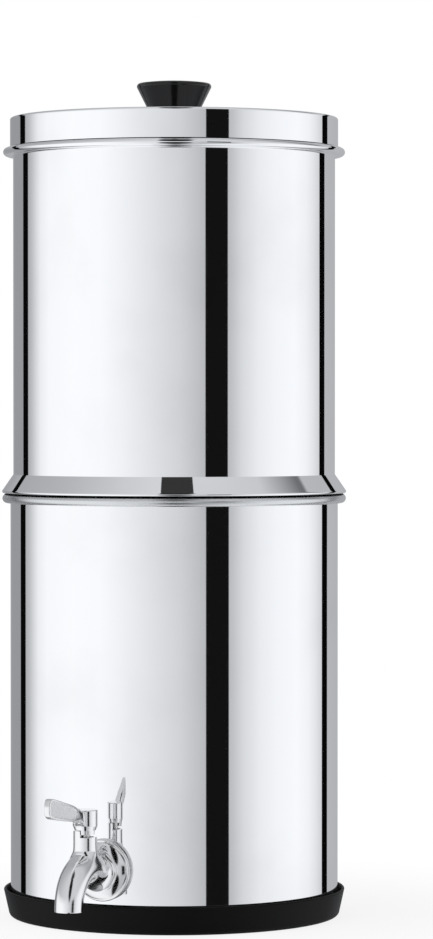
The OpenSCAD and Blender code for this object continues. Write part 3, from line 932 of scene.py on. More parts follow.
@dataclass(frozen=True)
class UpperChamber:
    """The upper chamber, with the flare that it stands on and the rib under its lid."""

    vessel: VesselSizes
    flare_reach: float = 7 * MM
    flare_h: float = 11.6 * MM
    lip_r: float = 1.1 * MM
    # height of the band under the flare that is painted near black as the seam's shade
    shade_band: float = 0.25 * MM
    rib_reach: float = 6.2 * MM
    rib_r: float = 2.3 * MM
    crease_r: float = 1 * MM

    def mesh(self) -> BMesh:
        """Spins the chamber's outer face, with its flare and its rib.

        Returns:
            The open surface.
        """
        v = self.vessel
        crease = self.crease_r
        lip = Vector((v.upper_r + self.flare_reach - self.lip_r, v.seat_z + self.lip_r))
        shoulder = Vector((v.upper_r, v.seat_z + self.flare_h))
        rib_mid = v.skirt_z - v.seat_gap - self.rib_r
        rib_c = v.upper_r + self.rib_reach - self.rib_r
        pen = Pen(0, v.upper_z)
        pen.line(v.upper_r - v.corner_r, v.upper_z, hold=1 * MM)
        pen.arc(v.upper_r - v.corner_r, v.upper_z + v.corner_r, 90)
        pen.line(v.upper_r, v.seat_z - crease, hold=0.3 * MM)
        pen.arc(v.upper_r + crease, v.seat_z - crease, -90)
        pen.line(lip.x, v.seat_z, hold=0.3 * MM)
        pen.arc(lip.x, lip.y, 90 + touch(shoulder, lip, self.lip_r, -1))
        pen.line(shoulder.x, shoulder.y, hold=0.3 * MM)
        pen.line(v.upper_r, rib_mid - self.rib_r - crease, hold=0.6 * MM)
        pen.arc(v.upper_r + crease, rib_mid - self.rib_r - crease, -90)
        pen.line(rib_c, rib_mid - self.rib_r)
        pen.arc(rib_c, rib_mid, 180)
        pen.line(v.upper_r + crease, rib_mid + self.rib_r)
        pen.arc(v.upper_r + crease, rib_mid + self.rib_r + crease, -90)
        pen.line(v.upper_r, v.mouth_z, hold=0.6 * MM)
        return pen.spin(v.sides)

    def build(self, palette: Palette) -> None:
        """Models and dresses the chamber.

        Args:
            palette: The finishes' materials.
        """
        v = self.vessel
        mesh = self.mesh()
        # The flare's underside and the foot of its lip get the near-black steel, painted shade for
        # the seam over the lower chamber's rim
        mark_faces(mesh, 2, v.seat_z + self.shade_band, v.upper_r + self.crease_r)
        sheet_metal(mesh, v.sheet)
        palette.finish_piece("upper_shell", mesh, "upper", "chamber_steel",
                             (Finish.MIRROR, Finish.SATIN, Finish.SEAM_SHADE), "upper_chamber")


@dataclass(frozen=True)
class Lid:
    """The slip-on lid and its knob."""

    vessel: VesselSizes
    # height of the skirt's lowest band, painted near black as the seam's shade
    shade_band: float = 0.35 * MM
    edge_r: float = 1.2 * MM
    crown: float = 2 * MM
    seat_r: float = 18 * MM
    hole_r: float = 2.75 * MM
    knob_foot_r: float = 15 * MM
    foot_edge: float = 1 * MM
    knob_edge_r: float = 2 * MM
    knob_dome: float = 1.4 * MM
    knob_sides: int = 128

    def lid_mesh(self) -> BMesh:
        """Spins the lid's outer face.

        Returns:
            The open surface.
        """
        v = self.vessel
        edge_z = v.lid_top - self.crown
        wide = v.lid_r - self.edge_r
        run = wide - self.seat_r
        big = (run ** 2 + self.crown ** 2) / (2 * self.crown)
        slope = math.degrees(math.asin(run / big))
        pen = Pen(v.lid_r, v.skirt_z)
        # bounds the lowest band of the skirt, which is painted near black as shade
        pen.line(v.lid_r, v.skirt_z + self.shade_band)
        pen.line(v.lid_r, edge_z - self.edge_r, hold=0.6 * MM)
        pen.arc(wide, edge_z - self.edge_r, 90 - slope)
        pen.line(wide, edge_z)
        pen.arc(self.seat_r, v.lid_top - big, slope, step=0.4)
        pen.line(self.hole_r, v.lid_top, hold=1 * MM)
        return pen.spin(v.sides)

    def knob_mesh(self) -> BMesh:
        """Spins the knob's outline.

        Returns:
            The closed mesh.
        """
        low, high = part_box("lid_knob")
        knob_r, top = high.x, high.z
        foot = Vector((self.knob_foot_r, low.z + self.foot_edge))
        edge = Vector((knob_r - self.knob_edge_r, top - self.knob_dome - self.knob_edge_r))
        start = touch(foot, edge, self.knob_edge_r, 1)
        big = (edge.x ** 2 + self.knob_dome ** 2) / (2 * self.knob_dome)
        slope = math.degrees(math.asin(edge.x / big))
        pen = Pen(0, low.z)
        pen.line(foot.x - self.foot_edge, low.z)
        pen.arc(foot.x - self.foot_edge, foot.y, 90)
        around = math.radians(start)
        pen.line(edge.x + self.knob_edge_r * math.cos(around),
                 edge.y + self.knob_edge_r * math.sin(around), hold=0.4 * MM)
        pen.arc(edge.x, edge.y, 90 - start)
        pen.arc(0, top - big, slope, step=slope / 8)
        return pen.spin(self.knob_sides)

    def build(self, palette: Palette) -> None:
        """Models and dresses the lid and the knob.

        Args:
            palette: The finishes' materials.
        """
        mesh = self.lid_mesh()
        # The skirt's lowest band gets the near-black steel, painted shade for the seam over the rib
        mark_faces(mesh, 2, self.vessel.skirt_z + self.shade_band)
        sheet_metal(mesh, self.vessel.sheet)
        palette.finish_piece("lid_shell", mesh, "lid", "chamber_steel",
                             (Finish.MIRROR, Finish.SATIN, Finish.SEAM_SHADE), "lid")
        palette.finish_piece("knob", self.knob_mesh(), "lid", "knob_plastic",
                             (Finish.KNOB,), "lid_knob")
        palette.dress_node("knob_washer", Finish.FASTENER)
        palette.dress_node("knob_screw", Finish.FASTENER)


# ---- tap ----

@dataclass(frozen=True)
class TapSizes:
    """Places and radii of the tap, most of them taken from the frame."""

    axis_z: float
    flange_r: float
    flange_back: float
    flange_front: float
    shank_end: float
    outlet_z: float
    stop_top: float
    spout_reach: float
    lever_reach: float
    lever_end: float
    tip_top: float
    ring_r: float = 13 * MM
    ring_t: float = 1.4 * MM
    shank_r: float = 7.8 * MM
    stem_r: float = 7.1 * MM
    stop_h: float = 3.8 * MM
    hub_r: float = 7.45 * MM

    @classmethod
    def from_frame(cls) -> "TapSizes":
        """Reads the tap's places from the boxes of the frame's nodes.

        Returns:
            The sizes.
        """
        flange, body, lever, plug = (
            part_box(n) for n in ("tap_flange", "tap_body", "tap_lever", "tap_plug"))
        return cls(axis_z=(flange[0].z + flange[1].z) / 2, flange_r=flange[1].x,
                   flange_back=-flange[1].y, flange_front=-flange[0].y, shank_end=-body[1].y,
                   outlet_z=body[0].z, stop_top=body[1].z, spout_reach=-body[0].y,
                   lever_reach=-(plug[0].y + plug[1].y) / 2, lever_end=-lever[0].y,
                   tip_top=lever[1].z)

    @property
    def rim_z(self) -> float:
        """Height of the bonnet's rim where it is cut down."""
        return self.stop_top - self.stop_h

    def along_tap(self, reach: float) -> Matrix:
        """The turn that takes Z to the tap's axis, from a distance in front of the vessel."""
        return Matrix.Translation((0, -reach, self.axis_z)) @ Matrix.Rotation(math.pi / 2, 4, "X")


@dataclass(frozen=True)
class TapBody:
    """The cast body: shank, neck, bent spout, and the bonnet with its stepped stop."""

    TURNS: ClassVar[tuple[float, ...]] = (13, 6.5, 0, -6.5, -13, -24, -36, -49, -62, -76)

    sizes: TapSizes
    neck_r: float = 9.4 * MM
    neck_drop: float = 0.25 * MM
    climb: float = 18.0  # degrees of the tube's slope in front of the neck
    ring_edge: float = 0.9 * MM
    flare_l: float = 5 * MM
    port_r: float = 3.5 * MM
    port_l: float = 4 * MM
    shoulder: float = 2 * MM
    bend_r: float = 21.7 * MM
    tail: float = 1.9 * MM
    tail_start: float = 0.5 * MM
    tail_swell: float = 0.05 * MM
    outlet_r: float = 8.5 * MM
    bore_r: float = 6.1 * MM
    bore_l: float = 12 * MM
    foot_r: float = 7.8 * MM
    foot_half: float = 6.5 * MM
    foot_rise: float = 12.7 * MM
    foot_h: float = 2.6 * MM
    foot_bend: float = 1 * MM
    foot_swell: float = 0.25 * MM
    rim_hold: float = 1.2 * MM
    plug_bore_r: float = 5 * MM
    plug_bore_l: float = 6 * MM
    stop_crease: float = 0.85
    near: float = 0.1 * MM  # allowance when faces are picked by their height

    def neck(self) -> list[Station]:
        """Places the shank, the ring in front of the flange and the flare into the tube.

        Returns:
            Their rings.
        """
        s = self.sizes
        front, axis = s.flange_front, s.axis_z
        made = [Station(s.shank_end + self.port_l, axis, 0, self.port_r),
                Station(s.shank_end, axis, 0, self.port_r, crease=0.9),
                Station(s.shank_end, axis, 0, s.shank_r, crease=0.7),
                Station(front - self.shoulder, axis, 0, s.shank_r),
                Station(front, axis, 0, s.shank_r, crease=0.9),
                Station(front, axis, 0, s.ring_r, crease=0.6),
                Station(front + s.ring_t, axis, 0, s.ring_r, crease=0.6)]
        flare_r = s.ring_r - self.ring_edge
        for turn in (0, 30, 60, 90):
            bend = math.radians(turn)
            reach = front + s.ring_t + self.flare_l * (1 - math.cos(bend))
            r = self.neck_r + (flare_r - self.neck_r) * (1 - math.sin(bend))
            rise = (reach - front) * math.tan(math.radians(self.climb)) - self.neck_drop
            made.append(Station(reach, axis + max(0, rise) * turn / 90, self.climb * turn / 90, r,
                                crease=0 if turn else 0.5))
        return made

    def spout(self) -> list[Station]:
        """Places the bend and the outlet, with the bore inside it.

        Returns:
            Their rings.
        """
        low = self.sizes.outlet_z
        bend_z = low + self.tail
        middle = self.sizes.spout_reach - self.outlet_r - self.bend_r
        end = middle + self.bend_r
        made = []
        for turn in self.TURNS:
            around = math.radians(turn)
            share = (self.climb - turn) / (self.climb + 90)
            made.append(Station(middle - self.bend_r * math.sin(around),
                                bend_z + self.bend_r * math.cos(around), turn,
                                self.neck_r + (self.outlet_r - self.neck_r) * share))
        made += [Station(end, bend_z + self.tail_start, -90, self.outlet_r + self.tail_swell),
                 Station(end, low, -90, self.outlet_r, crease=0.75),
                 Station(end, low, -90, self.bore_r, crease=0.8),
                 Station(end, low + self.bore_l, -90, self.bore_r)]
        return made

    def stem(self) -> list[Station]:
        """Places the bonnet, from its flared foot to the rim and down into the plug's bore.

        Returns:
            Its rings.
        """
        s = self.sizes
        foot = s.axis_z + self.foot_rise
        rows = ((foot, self.foot_r), (foot + self.foot_bend, s.stem_r + self.foot_swell),
                (foot + self.foot_h, s.stem_r), (s.rim_z - self.rim_hold, s.stem_r),
                (s.rim_z, s.stem_r), (s.rim_z, self.plug_bore_r),
                (s.rim_z - self.plug_bore_l, self.plug_bore_r))
        return [Station(s.lever_reach, z, 90, r) for z, r in rows]

    def mesh(self) -> BMesh:
        """Draws the tube, opens its top under the bonnet and joins the two.

        Returns:
            The closed mesh.
        """
        cage = Cage()
        for ring in cage.loft(self.neck() + self.spout()):
            bmesh.ops.contextual_create(cage.mesh, geom=ring)
        opening = self._open_top(cage.mesh)
        foot, bore = cage.loft(self.stem())
        bmesh.ops.contextual_create(cage.mesh, geom=bore)
        bmesh.ops.bridge_loops(cage.mesh, edges=opening + foot)
        self._raise_stop(cage)
        return cage.smoothed()

    def _open_top(self, tube: BMesh) -> list[BMEdge]:
        """Cuts the opening that the bonnet grows from.

        Args:
            tube: The tube.

        Returns:
            The opening's edges.
        """
        s = self.sizes
        top = [face for face in tube.faces if self._under_stem(face)]
        around = list({edge for face in top for edge in face.edges
                       if sum(linked in top for linked in edge.link_faces) == 1})
        for vert in {vert for edge in around for vert in edge.verts}:
            if abs(vert.co.y + s.lever_reach) < s.stem_r:
                vert.co.x = math.copysign(max(abs(vert.co.x), self.foot_r), vert.co.x)
        bmesh.ops.delete(tube, geom=top, context="FACES")
        return around

    def _raise_stop(self, cage: Cage) -> None:
        """Raises the half of the bonnet's rim that stops the lever, and sharpens its steps.

        Args:
            cage: The body.
        """
        low = self.sizes.rim_z - self.near
        high = [face for face in cage.mesh.faces if face.calc_center_median().x < 0
                and min(vert.co.z for vert in face.verts) > low]
        raised = bmesh.ops.extrude_face_region(cage.mesh, geom=high)["geom"]
        bmesh.ops.translate(cage.mesh, vec=(0, 0, self.sizes.stop_h), verts=verts_of(raised))
        cage.crease_steps(low, self.stop_crease)

    def _under_stem(self, face: BMFace) -> bool:
        """Whether a face of the tube lies in the square that the bonnet grows from."""
        middle = face.calc_center_median()
        return (middle.z > self.sizes.axis_z and abs(middle.x) < self.foot_half
                and abs(middle.y + self.sizes.lever_reach) < self.foot_half)

    def build(self, palette: Palette) -> None:
        """Models and dresses the body."""
        palette.finish_piece("tap_casting", self.mesh(), "lower", "tap_steel",
                             (Finish.TAP,), "tap_body", sharp=50.0)


@dataclass(frozen=True)
class TapFlange:
    """The cone-shaped flange between the tap and the vessel."""

    sizes: TapSizes
    hole_r: float = 8.2 * MM
    rim_t: float = 2.6 * MM
    rim_w: float = 1.6 * MM
    rim_round: float = 0.42  # radius of the rim's edges, as a share of its thickness
    steep: float = 42.0  # degrees of the cone's slope at its foot
    flat: float = 22.0  # degrees of its slope at its top
    edge: float = 0.6 * MM
    sides: int = 160

    def mesh(self) -> BMesh:
        """Spins the flange's outline round the tap's axis.

        Returns:
            The closed mesh.
        """
        s = self.sizes
        depth = s.flange_front - s.flange_back
        round_r = self.rim_t * self.rim_round
        cone_r = s.flange_r - self.rim_w
        pen = Pen(self.hole_r, 0)
        pen.line(s.flange_r - round_r, 0, hold=0.3 * MM)
        pen.arc(s.flange_r - round_r, round_r, 90)
        pen.line(s.flange_r, self.rim_t - round_r)
        pen.arc(s.flange_r - round_r, self.rim_t - round_r, 90)
        pen.line(cone_r, self.rim_t)
        steep, flat = math.radians(self.steep), math.radians(self.flat)
        foot_r, top_r = cone_r - self.edge / 2, s.ring_r - self.edge
        big = (foot_r - top_r) / (math.sin(steep) - math.sin(flat))
        foot_z = depth - big * (math.cos(flat) - math.cos(steep))
        pen.line(cone_r, foot_z - self.edge / 2, hold=0.3 * MM)
        pen.line(foot_r, foot_z)
        pen.arc(foot_r - big * math.sin(steep), foot_z - big * math.cos(steep),
                self.steep - self.flat, step=2.5)
        pen.line(self.hole_r, depth)
        pen.line(self.hole_r, 0)
        mesh = pen.spin(self.sides)
        bmesh.ops.transform(mesh, matrix=s.along_tap(s.flange_back), verts=mesh.verts)
        return mesh

    def build(self, palette: Palette) -> None:
        """Models and dresses the flange."""
        palette.finish_piece("flange", self.mesh(), "lower", "tap_steel", (Finish.FLANGE,),
                             "tap_flange")


def corners(x: float, z: float, steps: tuple[tuple[float, float], ...]) -> list[
        tuple[float, float]]:
    """The points that lie so many millimetres from a point."""
    return [(x + across * MM, z + up * MM) for across, up in steps]


@dataclass(frozen=True)
class TapLever:
    """The lever: a hub that turns the plug, and an arm with an etched panel on each flank."""

    sizes: TapSizes
    hub_gap: float = 0.3 * MM
    hub_h: float = 12.1 * MM
    skirt_h: float = 2.5 * MM
    taper_h: float = 2.6 * MM
    foot_in: float = 1.05 * MM
    edge: float = 0.5 * MM
    sides: int = 96
    skirt_start: float = 272.0  # degrees from the X axis
    skirt_turn: float = 86.0
    lap: float = 0.2 * MM  # how far the skirt reaches into the hub
    root_t: float = 7.8 * MM
    tip_t: float = 3.8 * MM
    border: float = 1.5 * MM
    depth: float = 0.5 * MM
    lean: float = 0.12 * MM  # how far the panel's wall leans inwards
    root: float = 16.6 * MM
    root_rise: float = 3.7 * MM
    root_h: float = 9.7 * MM
    tip_h: float = 12 * MM
    screw_r: float = 2.05 * MM
    screw_rise: float = 4.6 * MM
    square_r: float = 3.6 * MM
    swell: float = 1.2 * MM
    panel_round: float = 1.6 * MM
    split_in: float = 1.5 * MM
    split_rise: float = 0.72  # share of the rise that the neck has made at the split
    split_drop: float = 0.3 * MM
    flank_crease: float = 0.3
    panel_crease: float = 0.8
    # Corners of the side view, in millimetres from the hub's axis or the blade's end
    neck_top: tuple[tuple[float, float], ...] = ((5, -0.4), (8.4, 0.1))
    nose: tuple[tuple[float, float], ...] = ((-3.6, 0), (-1.5, -2), (0, -6))
    chin: tuple[tuple[float, float], ...] = ((-0.9, 2.6), (-3.4, 0))
    neck_low: tuple[tuple[float, float], ...] = ((9.4, -1.4), (6.6, -4.2), (5, -4.4))

    @property
    def low(self) -> float:
        """Height of the hub's lower edge."""
        return self.sizes.stop_top + self.hub_gap

    @property
    def top(self) -> float:
        """Height of the hub's top."""
        return self.low + self.hub_h

    @property
    def long(self) -> float:
        """Distance from the hub's axis to the blade's end."""
        return self.sizes.lever_end - self.sizes.lever_reach

    @property
    def root_z(self) -> tuple[float, float]:
        """Heights of the blade's lower and upper edge where it starts."""
        root_top = self.top + self.root_rise
        return root_top - self.root_h, root_top

    def hub_mesh(self) -> BMesh:
        """Spins the hub and adds the quarter skirt that meets the body's stop.

        Returns:
            The closed mesh, round Z.
        """
        s = self.sizes
        foot = s.hub_r - self.foot_in
        pen = Pen(0, self.low)
        pen.line(foot, self.low, hold=0.2 * MM)
        pen.line(s.hub_r, self.low + self.taper_h, hold=0.2 * MM)
        pen.line(s.hub_r, self.top - self.edge, hold=0.2 * MM)
        pen.arc(s.hub_r - self.edge, self.top - self.edge, 90, step=30)
        pen.line(0, self.top, hold=0.2 * MM)
        skirt = Pen(self.square_r, self.low - self.skirt_h)
        skirt.line(foot - self.lap, self.low - self.skirt_h)
        skirt.line(foot, self.low + self.lap)
        skirt.line(self.square_r, self.low + self.lap)
        return join_solids("UNION", pen.spin(self.sides),
                           skirt.sector(self.skirt_start, self.skirt_turn))

    def side_view(self) -> list[tuple[float, float]]:
        """Draws the arm from the side, from the hub's top round the tip.

        Returns:
            Its corners, each a distance in front of the hub's axis and a height.
        """
        root_low, root_top = self.root_z
        tip_top = self.sizes.tip_top + self.swell
        tip_low = self.sizes.tip_top - self.tip_h
        mid, split = (self.root + self.long) / 2, self.root - self.split_in
        return [*corners(0, self.top, self.neck_top),
                (split, self.top + (root_top - self.top) * self.split_rise),
                (self.root, root_top), (mid, (root_top + tip_top) / 2),
                *corners(self.long, tip_top, self.nose), *corners(self.long, tip_low, self.chin),
                (mid, (root_low + tip_low) / 2), (self.root, root_low),
                (split, root_low - self.split_drop), *corners(0, root_low, self.neck_low)]

    def _flanks(self, cage: Cage, beyond: float = 0.0) -> list[BMFace]:
        """The faces of the arm's two flanks whose middle lies beyond a distance from the hub."""
        limit = -self.sizes.lever_reach - beyond
        return [face for face in cage.mesh.faces if abs(face.normal.x) > 0.9
                and face.calc_center_median().y < limit]

    def _part_flanks(self, cage: Cage) -> None:
        """Parts each flank where the blade starts, along a seam that bows towards the hub.

        Args:
            cage: The arm.
        """
        start = -self.sizes.lever_reach - self.root
        ends = [Vector((start, z)) for z in reversed(self.root_z)]
        for face in self._flanks(cage):
            pair = [min(face.verts, key=lambda vert, end=end: (vert.co.yz - end).length)
                    for end in ends]
            seam = bmesh.ops.connect_verts(cage.mesh, verts=pair)["edges"]
            halved = bmesh.ops.subdivide_edges(cage.mesh, edges=seam, cuts=1)["geom_inner"]
            bmesh.ops.translate(cage.mesh, vec=(0, self.panel_round, 0), verts=verts_of(halved))

    def _sink_panels(self, cage: Cage) -> None:
        """Sinks a panel in each flank of the blade.

        Args:
            cage: The arm.
        """
        panels = self._flanks(cage, self.root)
        bmesh.ops.inset_individual(cage.mesh, faces=panels, thickness=self.border)
        edges = {edge for face in panels for edge in face.edges}
        bmesh.ops.inset_individual(cage.mesh, faces=panels, thickness=self.lean,
                                   depth=-self.depth)
        for edge in edges | {edge for face in panels for edge in face.edges}:
            edge[cage.creases] = self.panel_crease
        for face in panels:
            face.material_index = 1

    def arm_mesh(self) -> BMesh:
        """Gives the side view its thickness and sinks a panel in each flank.

        Returns:
            The closed mesh.
        """
        cage = Cage()
        taper = (self.root_t - self.tip_t) / 2 / self.long
        flank = cage.mesh.faces.new([
            cage.mesh.verts.new((self.root_t / 2 - taper * x, -self.sizes.lever_reach - x, z))
            for x, z in self.side_view()])
        grown = bmesh.ops.extrude_face_region(cage.mesh, geom=[flank], use_keep_orig=True)["geom"]
        bmesh.ops.scale(cage.mesh, vec=(-1, 1, 1), verts=verts_of(grown))
        bmesh.ops.recalc_face_normals(cage.mesh, faces=cage.mesh.faces)
        for edge in {edge for face in self._flanks(cage) for edge in face.edges}:
            edge[cage.creases] = self.flank_crease
        self._part_flanks(cage)
        self._sink_panels(cage)
        return cage.smoothed()

    def mesh(self) -> BMesh:
        """Joins the hub and the arm and drills the grub screw's hole.

        Returns:
            The closed mesh.
        """
        s = self.sizes
        hub = self.hub_mesh()
        bmesh.ops.translate(hub, vec=(0, -s.lever_reach, 0), verts=hub.verts)
        whole = join_solids("UNION", hub, self.arm_mesh())
        drill = bmesh.new()
        place = Matrix.Translation((-s.hub_r, -s.lever_reach, self.low + self.screw_rise))
        bmesh.ops.create_cone(drill, cap_ends=True, segments=32, radius1=self.screw_r,
                              radius2=self.screw_r, depth=2 * (s.hub_r - self.square_r),
                              matrix=place @ Matrix.Rotation(math.pi / 2, 4, "Y"))
        return join_solids("DIFFERENCE", whole, drill)

    def build(self, palette: Palette) -> None:
        """Models and dresses the lever."""
        palette.finish_piece("lever", self.mesh(), "lever", "tap_steel",
                             (Finish.TAP, Finish.ETCHED), "tap_lever", sharp=40.0)


# ---- studio ----

@dataclass(frozen=True)
class Card:
    """One panel of the studio, as the steel sees it.

    Angles are in degrees. Azimuth is measured from the camera towards the picture's right, and
    a lean moves it by so many degrees for each degree above LEAN_FROM.
    """

    LEAN_FROM: ClassVar[float] = 5.0

    level: float
    left: float
    right: float
    low: float = -90.0
    high: float = 90.0
    soft: float = 0.5
    soft_rise: float = 0.5
    lean: float = 0.0
    rounded: bool = False


@dataclass(frozen=True)
class Studio:
    """The light tent round the filter, the floor, the lamp and the camera.

    Sizes are in metres and angles in degrees.
    """

    camera_azimuth: float = 24.7
    camera_distance: float = 2.4723
    camera_height: float = 0.3175
    lens: float = 152.4
    aim_right: float = 0.61
    aim_down: float = 0.938
    tent_r: float = 20.0
    tent_z: float = 0.25
    tent_glow: float = 1.06
    upper_from: float = 11.0  # above the horizon, as is the next one
    upper_to: float = 100.0
    upper_soft: float = 12.0
    sky_glow: float = 0.8
    floor_r: float = 3.0
    floor_tone: tuple[float, float] = (0.9, 0.93)
    floor_grain: float = 400.0
    floor_glow: float = 0.86
    floor_fade: tuple[float, float] = (0.12, 0.35)
    lamp_size: float = 1.6
    lamp_watts: float = 14.0
    lamp_place: tuple[float, float, float] = (-0.5, -0.4, 2.0)
    lamp_aim: float = 0.2
    # Brightness round the horizon: azimuth from the camera and display level
    band: tuple[tuple[float, float], ...] = (
        (-180, 172), (-160, 150), (-132, 150), (-127, 176), (-122, 190), (-110, 238),
        (-100, 249), (-75, 253), (-53, 251), (-38, 243), (-24, 233), (-10, 222), (4, 211),
        (21, 187), (40, 190), (49, 217), (62, 236), (76, 245), (95, 250), (108, 243),
        (117, 230), (126, 210), (135, 182), (180, 172))
    # Brightness above the band, in the same way
    upper: tuple[tuple[float, float], ...] = (
        (-180, 176), (-140, 168), (-115, 176), (-85, 190), (-57, 203), (-27, 210), (40, 208),
        (87, 200), (104, 160), (117, 110), (120, 112), (122, 183), (180, 176))
    cards: tuple[Card, ...] = (
        Card(8, -137, -128, -90, 24, lean=-1.0),
        Card(6, 126.8, 136, -90, 24, lean=1.0),
        Card(18, 21.9, 38.2, -14, 9, soft_rise=2.0),
        Card(4, -14, 16, 6, 88, soft=0.2, rounded=True),
        Card(4, -14, 16, -80, -9, soft=0.2, rounded=True),
        Card(52, -16, 23, 58, 76),
    )

    def camera(self) -> None:
        """Puts the camera where the photograph was taken from."""
        turn = math.radians(self.camera_azimuth)
        back = Vector((math.sin(turn), -math.cos(turn), 0))
        right = Vector((math.cos(turn), math.sin(turn), 0))
        side = math.radians(self.aim_right)
        aim = -back * math.cos(side) + right * math.sin(side)
        aim.z = -math.tan(math.radians(self.aim_down))
        data = bpy.data.cameras.new("camera")
        data.lens = self.lens
        camera = bpy.data.objects.new("camera", data)
        camera.location = back * self.camera_distance + Vector((0, 0, self.camera_height))
        camera.rotation_mode = "QUATERNION"
        camera.rotation_quaternion = aim.to_track_quat("-Z", "Y")
        bpy.context.scene.collection.objects.link(camera)
        bpy.context.scene.camera = camera

    def _ramp(self, nodes: Nodes, around: NodeSocket,
              stops: tuple[tuple[float, float], ...]) -> NodeSocket:
        """Turns a list of azimuths and levels into a ramp's colour.

        Args:
            nodes: The tent's nodes.
            around: Place round the horizon, from 0 to 1.
            stops: Azimuths from the camera, and display levels.

        Returns:
            The colour.
        """
        ramp = nodes.add("ShaderNodeValToRGB", {"Fac": around})
        elements = ramp.color_ramp.elements
        while len(elements) < len(stops):
            elements.new(0.5)
        for element, (azimuth, level) in zip(elements, stops):
            element.position = (azimuth + 180) / 360
            element.color = (linear(level - 1.5), linear(level), linear(min(level + 3, 254)), 1)
        return ramp.outputs["Color"]

    def tent_material(self) -> Material:
        """Builds the tent's light, which depends on direction alone.

        Returns:
            The material.
        """
        material, nodes = new_material("light tent")
        x, y, z = nodes.axes()
        degree = math.degrees(1)
        azimuth = nodes.math("ARCTAN2", x, nodes.math("MULTIPLY", y, -1.0))
        azimuth = nodes.math("MULTIPLY_ADD", azimuth, degree, -self.camera_azimuth)
        around = nodes.math("WRAP", azimuth, 180.0, -180.0)
        share = nodes.math("MULTIPLY_ADD", around, 1 / 360, 0.5)
        height = nodes.math("DIVIDE", nodes.math("SUBTRACT", z, self.tent_z), self.tent_r)
        rise = nodes.math("MULTIPLY", nodes.math("ARCSINE", height), degree)
        high = nodes.window(rise, self.upper_from, self.upper_to, self.upper_soft)
        colour = nodes.mix(high, self._ramp(nodes, share, self.band),
                           self._ramp(nodes, share, self.upper))
        for card in self.cards:
            mask = self._card_mask(nodes, card, around, rise)
            colour = nodes.mix(mask, colour, (linear(card.level),) * 3)
        light = {"Color": colour, "Strength": self.tent_glow}
        nodes.show(nodes.add("ShaderNodeEmission", light))
        material.cycles.emission_sampling = "NONE"
        return material

    def _card_mask(self, nodes: Nodes, card: Card, around: NodeSocket,
                   rise: NodeSocket) -> NodeSocket:
        """Makes the mask of one card.

        Args:
            nodes: The tent's nodes.
            card: The card.
            around: Azimuth from the camera, in degrees.
            rise: Degrees above the horizon.

        Returns:
            A value that is 1 inside the card and 0 outside it.
        """
        if card.rounded:
            across = self._centred(nodes, around, card.left, card.right)
            up = self._centred(nodes, rise, card.low, card.high)
            away = nodes.math("SQRT", nodes.math("MULTIPLY_ADD", across, across,
                                                 nodes.math("MULTIPLY", up, up)))
            return nodes.math("MULTIPLY_ADD", away, -1 / card.soft, 1 / card.soft, clamp=True)
        if card.lean:
            above = nodes.math("MAXIMUM", nodes.math("SUBTRACT", rise, card.LEAN_FROM), 0.0)
            around = nodes.math("MULTIPLY_ADD", above, -card.lean, around)
        return nodes.math("MULTIPLY", nodes.window(around, card.left, card.right, card.soft),
                          nodes.window(rise, card.low, card.high, card.soft_rise))

    @staticmethod
    def _centred(nodes: Nodes, value: NodeSocket, low: float, high: float) -> NodeSocket:
        """A value that is -1 at the low end of a range and 1 at its high end."""
        return nodes.math("MULTIPLY_ADD", value, 2 / (high - low), -(high + low) / (high - low))

    def tent(self) -> None:
        """Builds the tent, which the camera itself doesn't see."""
        mesh = bmesh.new()
        bmesh.ops.create_icosphere(mesh, subdivisions=5, radius=self.tent_r)
        bmesh.ops.translate(mesh, verts=mesh.verts, vec=(0, 0, self.tent_z))
        bmesh.ops.reverse_faces(mesh, faces=mesh.faces)
        tent = self._stage_object("light_tent", mesh, self.tent_material())
        tent.visible_camera = False
        tent.visible_shadow = False

    @staticmethod
    def _stage_object(name: str, mesh: BMesh, material: Material) -> Object:
        """Makes a stage object of a mesh.

        Args:
            name: The object's name.
            mesh: Its mesh, which is used up.
            material: Its material.

        Returns:
            The object.
        """
        made = new_object(mesh, name)
        made.data.materials.append(material)
        return made

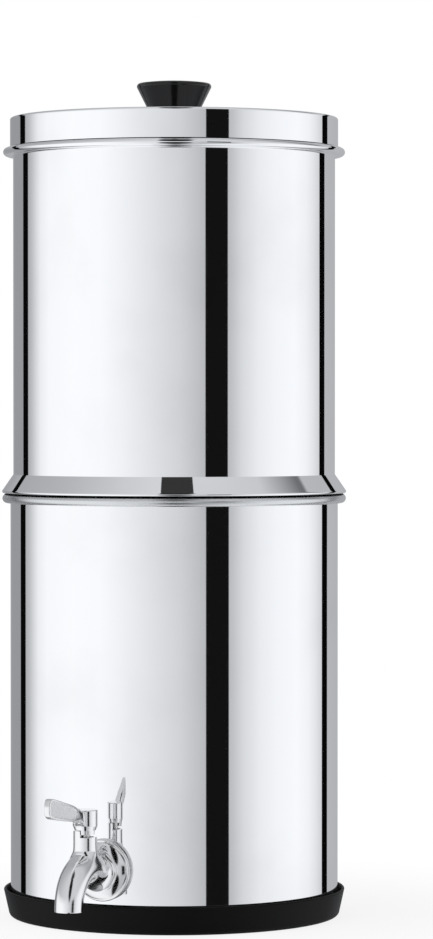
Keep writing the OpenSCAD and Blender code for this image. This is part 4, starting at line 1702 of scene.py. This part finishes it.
    def floor(self) -> None:
        """Lays the pale floor, which fades to the white of the background."""
        material, nodes = new_material("pale floor")
        place = nodes.place()
        far = nodes.add("ShaderNodeVectorMath", {"Vector": place}, operation="LENGTH")
        fade = nodes.remap(far.outputs["Value"], "SMOOTHSTEP", *self.floor_fade)
        speckle = nodes.noise(place, self.floor_grain)
        tone = nodes.remap(speckle, "LINEAR", 0.0, 1.0, self.floor_tone)
        paper = nodes.add("ShaderNodeBsdfPrincipled", {
            "Base Color": tone, "Roughness": 0.9, "Specular IOR Level": 0.1})
        white = nodes.add("ShaderNodeEmission")
        share = nodes.math("MULTIPLY_ADD", fade, 1 - self.floor_glow, self.floor_glow)
        mix = nodes.add("ShaderNodeMixShader")
        share = nodes.math("MULTIPLY", share, nodes.seen())
        for socket, value in zip(mix.inputs, (share, paper.outputs[0], white.outputs[0])):
            nodes.feed(socket, value)
        nodes.show(mix)
        mesh = bmesh.new()
        bmesh.ops.create_circle(mesh, cap_ends=True, radius=self.floor_r, segments=96)
        floor = self._stage_object("floor", mesh, material)
        floor.visible_glossy = False

    def world(self) -> None:
        """Makes the background white to the eye and to metal and glass."""
        world = bpy.data.worlds.new("background")
        world.use_nodes = True
        nodes = Nodes(world.node_tree)
        strength = nodes.math("MULTIPLY_ADD", nodes.seen(), 1 - self.sky_glow, self.sky_glow)
        background = {"Color": (1, 1, 1, 1), "Strength": strength}
        nodes.show(nodes.add("ShaderNodeBackground", background), "ShaderNodeOutputWorld")
        bpy.context.scene.world = world

    def lamp(self) -> None:
        """Hangs the soft lamp."""
        data = bpy.data.lights.new("overhead softbox", "AREA")
        data.shape = "DISK"
        data.size = self.lamp_size
        data.energy = self.lamp_watts
        lamp = bpy.data.objects.new("overhead_softbox", data)
        lamp.location = self.lamp_place
        lamp.rotation_mode = "QUATERNION"
        aim = Vector((0, 0, self.lamp_aim)) - lamp.location
        lamp.rotation_quaternion = aim.to_track_quat("-Z", "Y")
        lamp.visible_glossy = False
        bpy.context.scene.collection.objects.link(lamp)

    def build(self) -> None:
        """Sets the whole studio up."""
        self.camera()
        self.tent()
        self.floor()
        self.world()
        self.lamp()
        bpy.context.scene.view_settings.view_transform = "Standard"


def main() -> None:
    """Builds the filter from the base up, then the studio."""
    logging.basicConfig(level=logging.INFO, format="%(message)s")
    palette = Palette()
    vessel = VesselSizes.from_frame()
    tap = TapSizes.from_frame()
    for part in (BaseCup(vessel), LowerChamber(vessel), UpperChamber(vessel), Lid(vessel),
                 Elements(), TapBody(tap), TapFlange(tap), TapLever(tap), Valve()):
        part.build(palette)
    Studio().build()


if __name__ == "__main__":
    main()
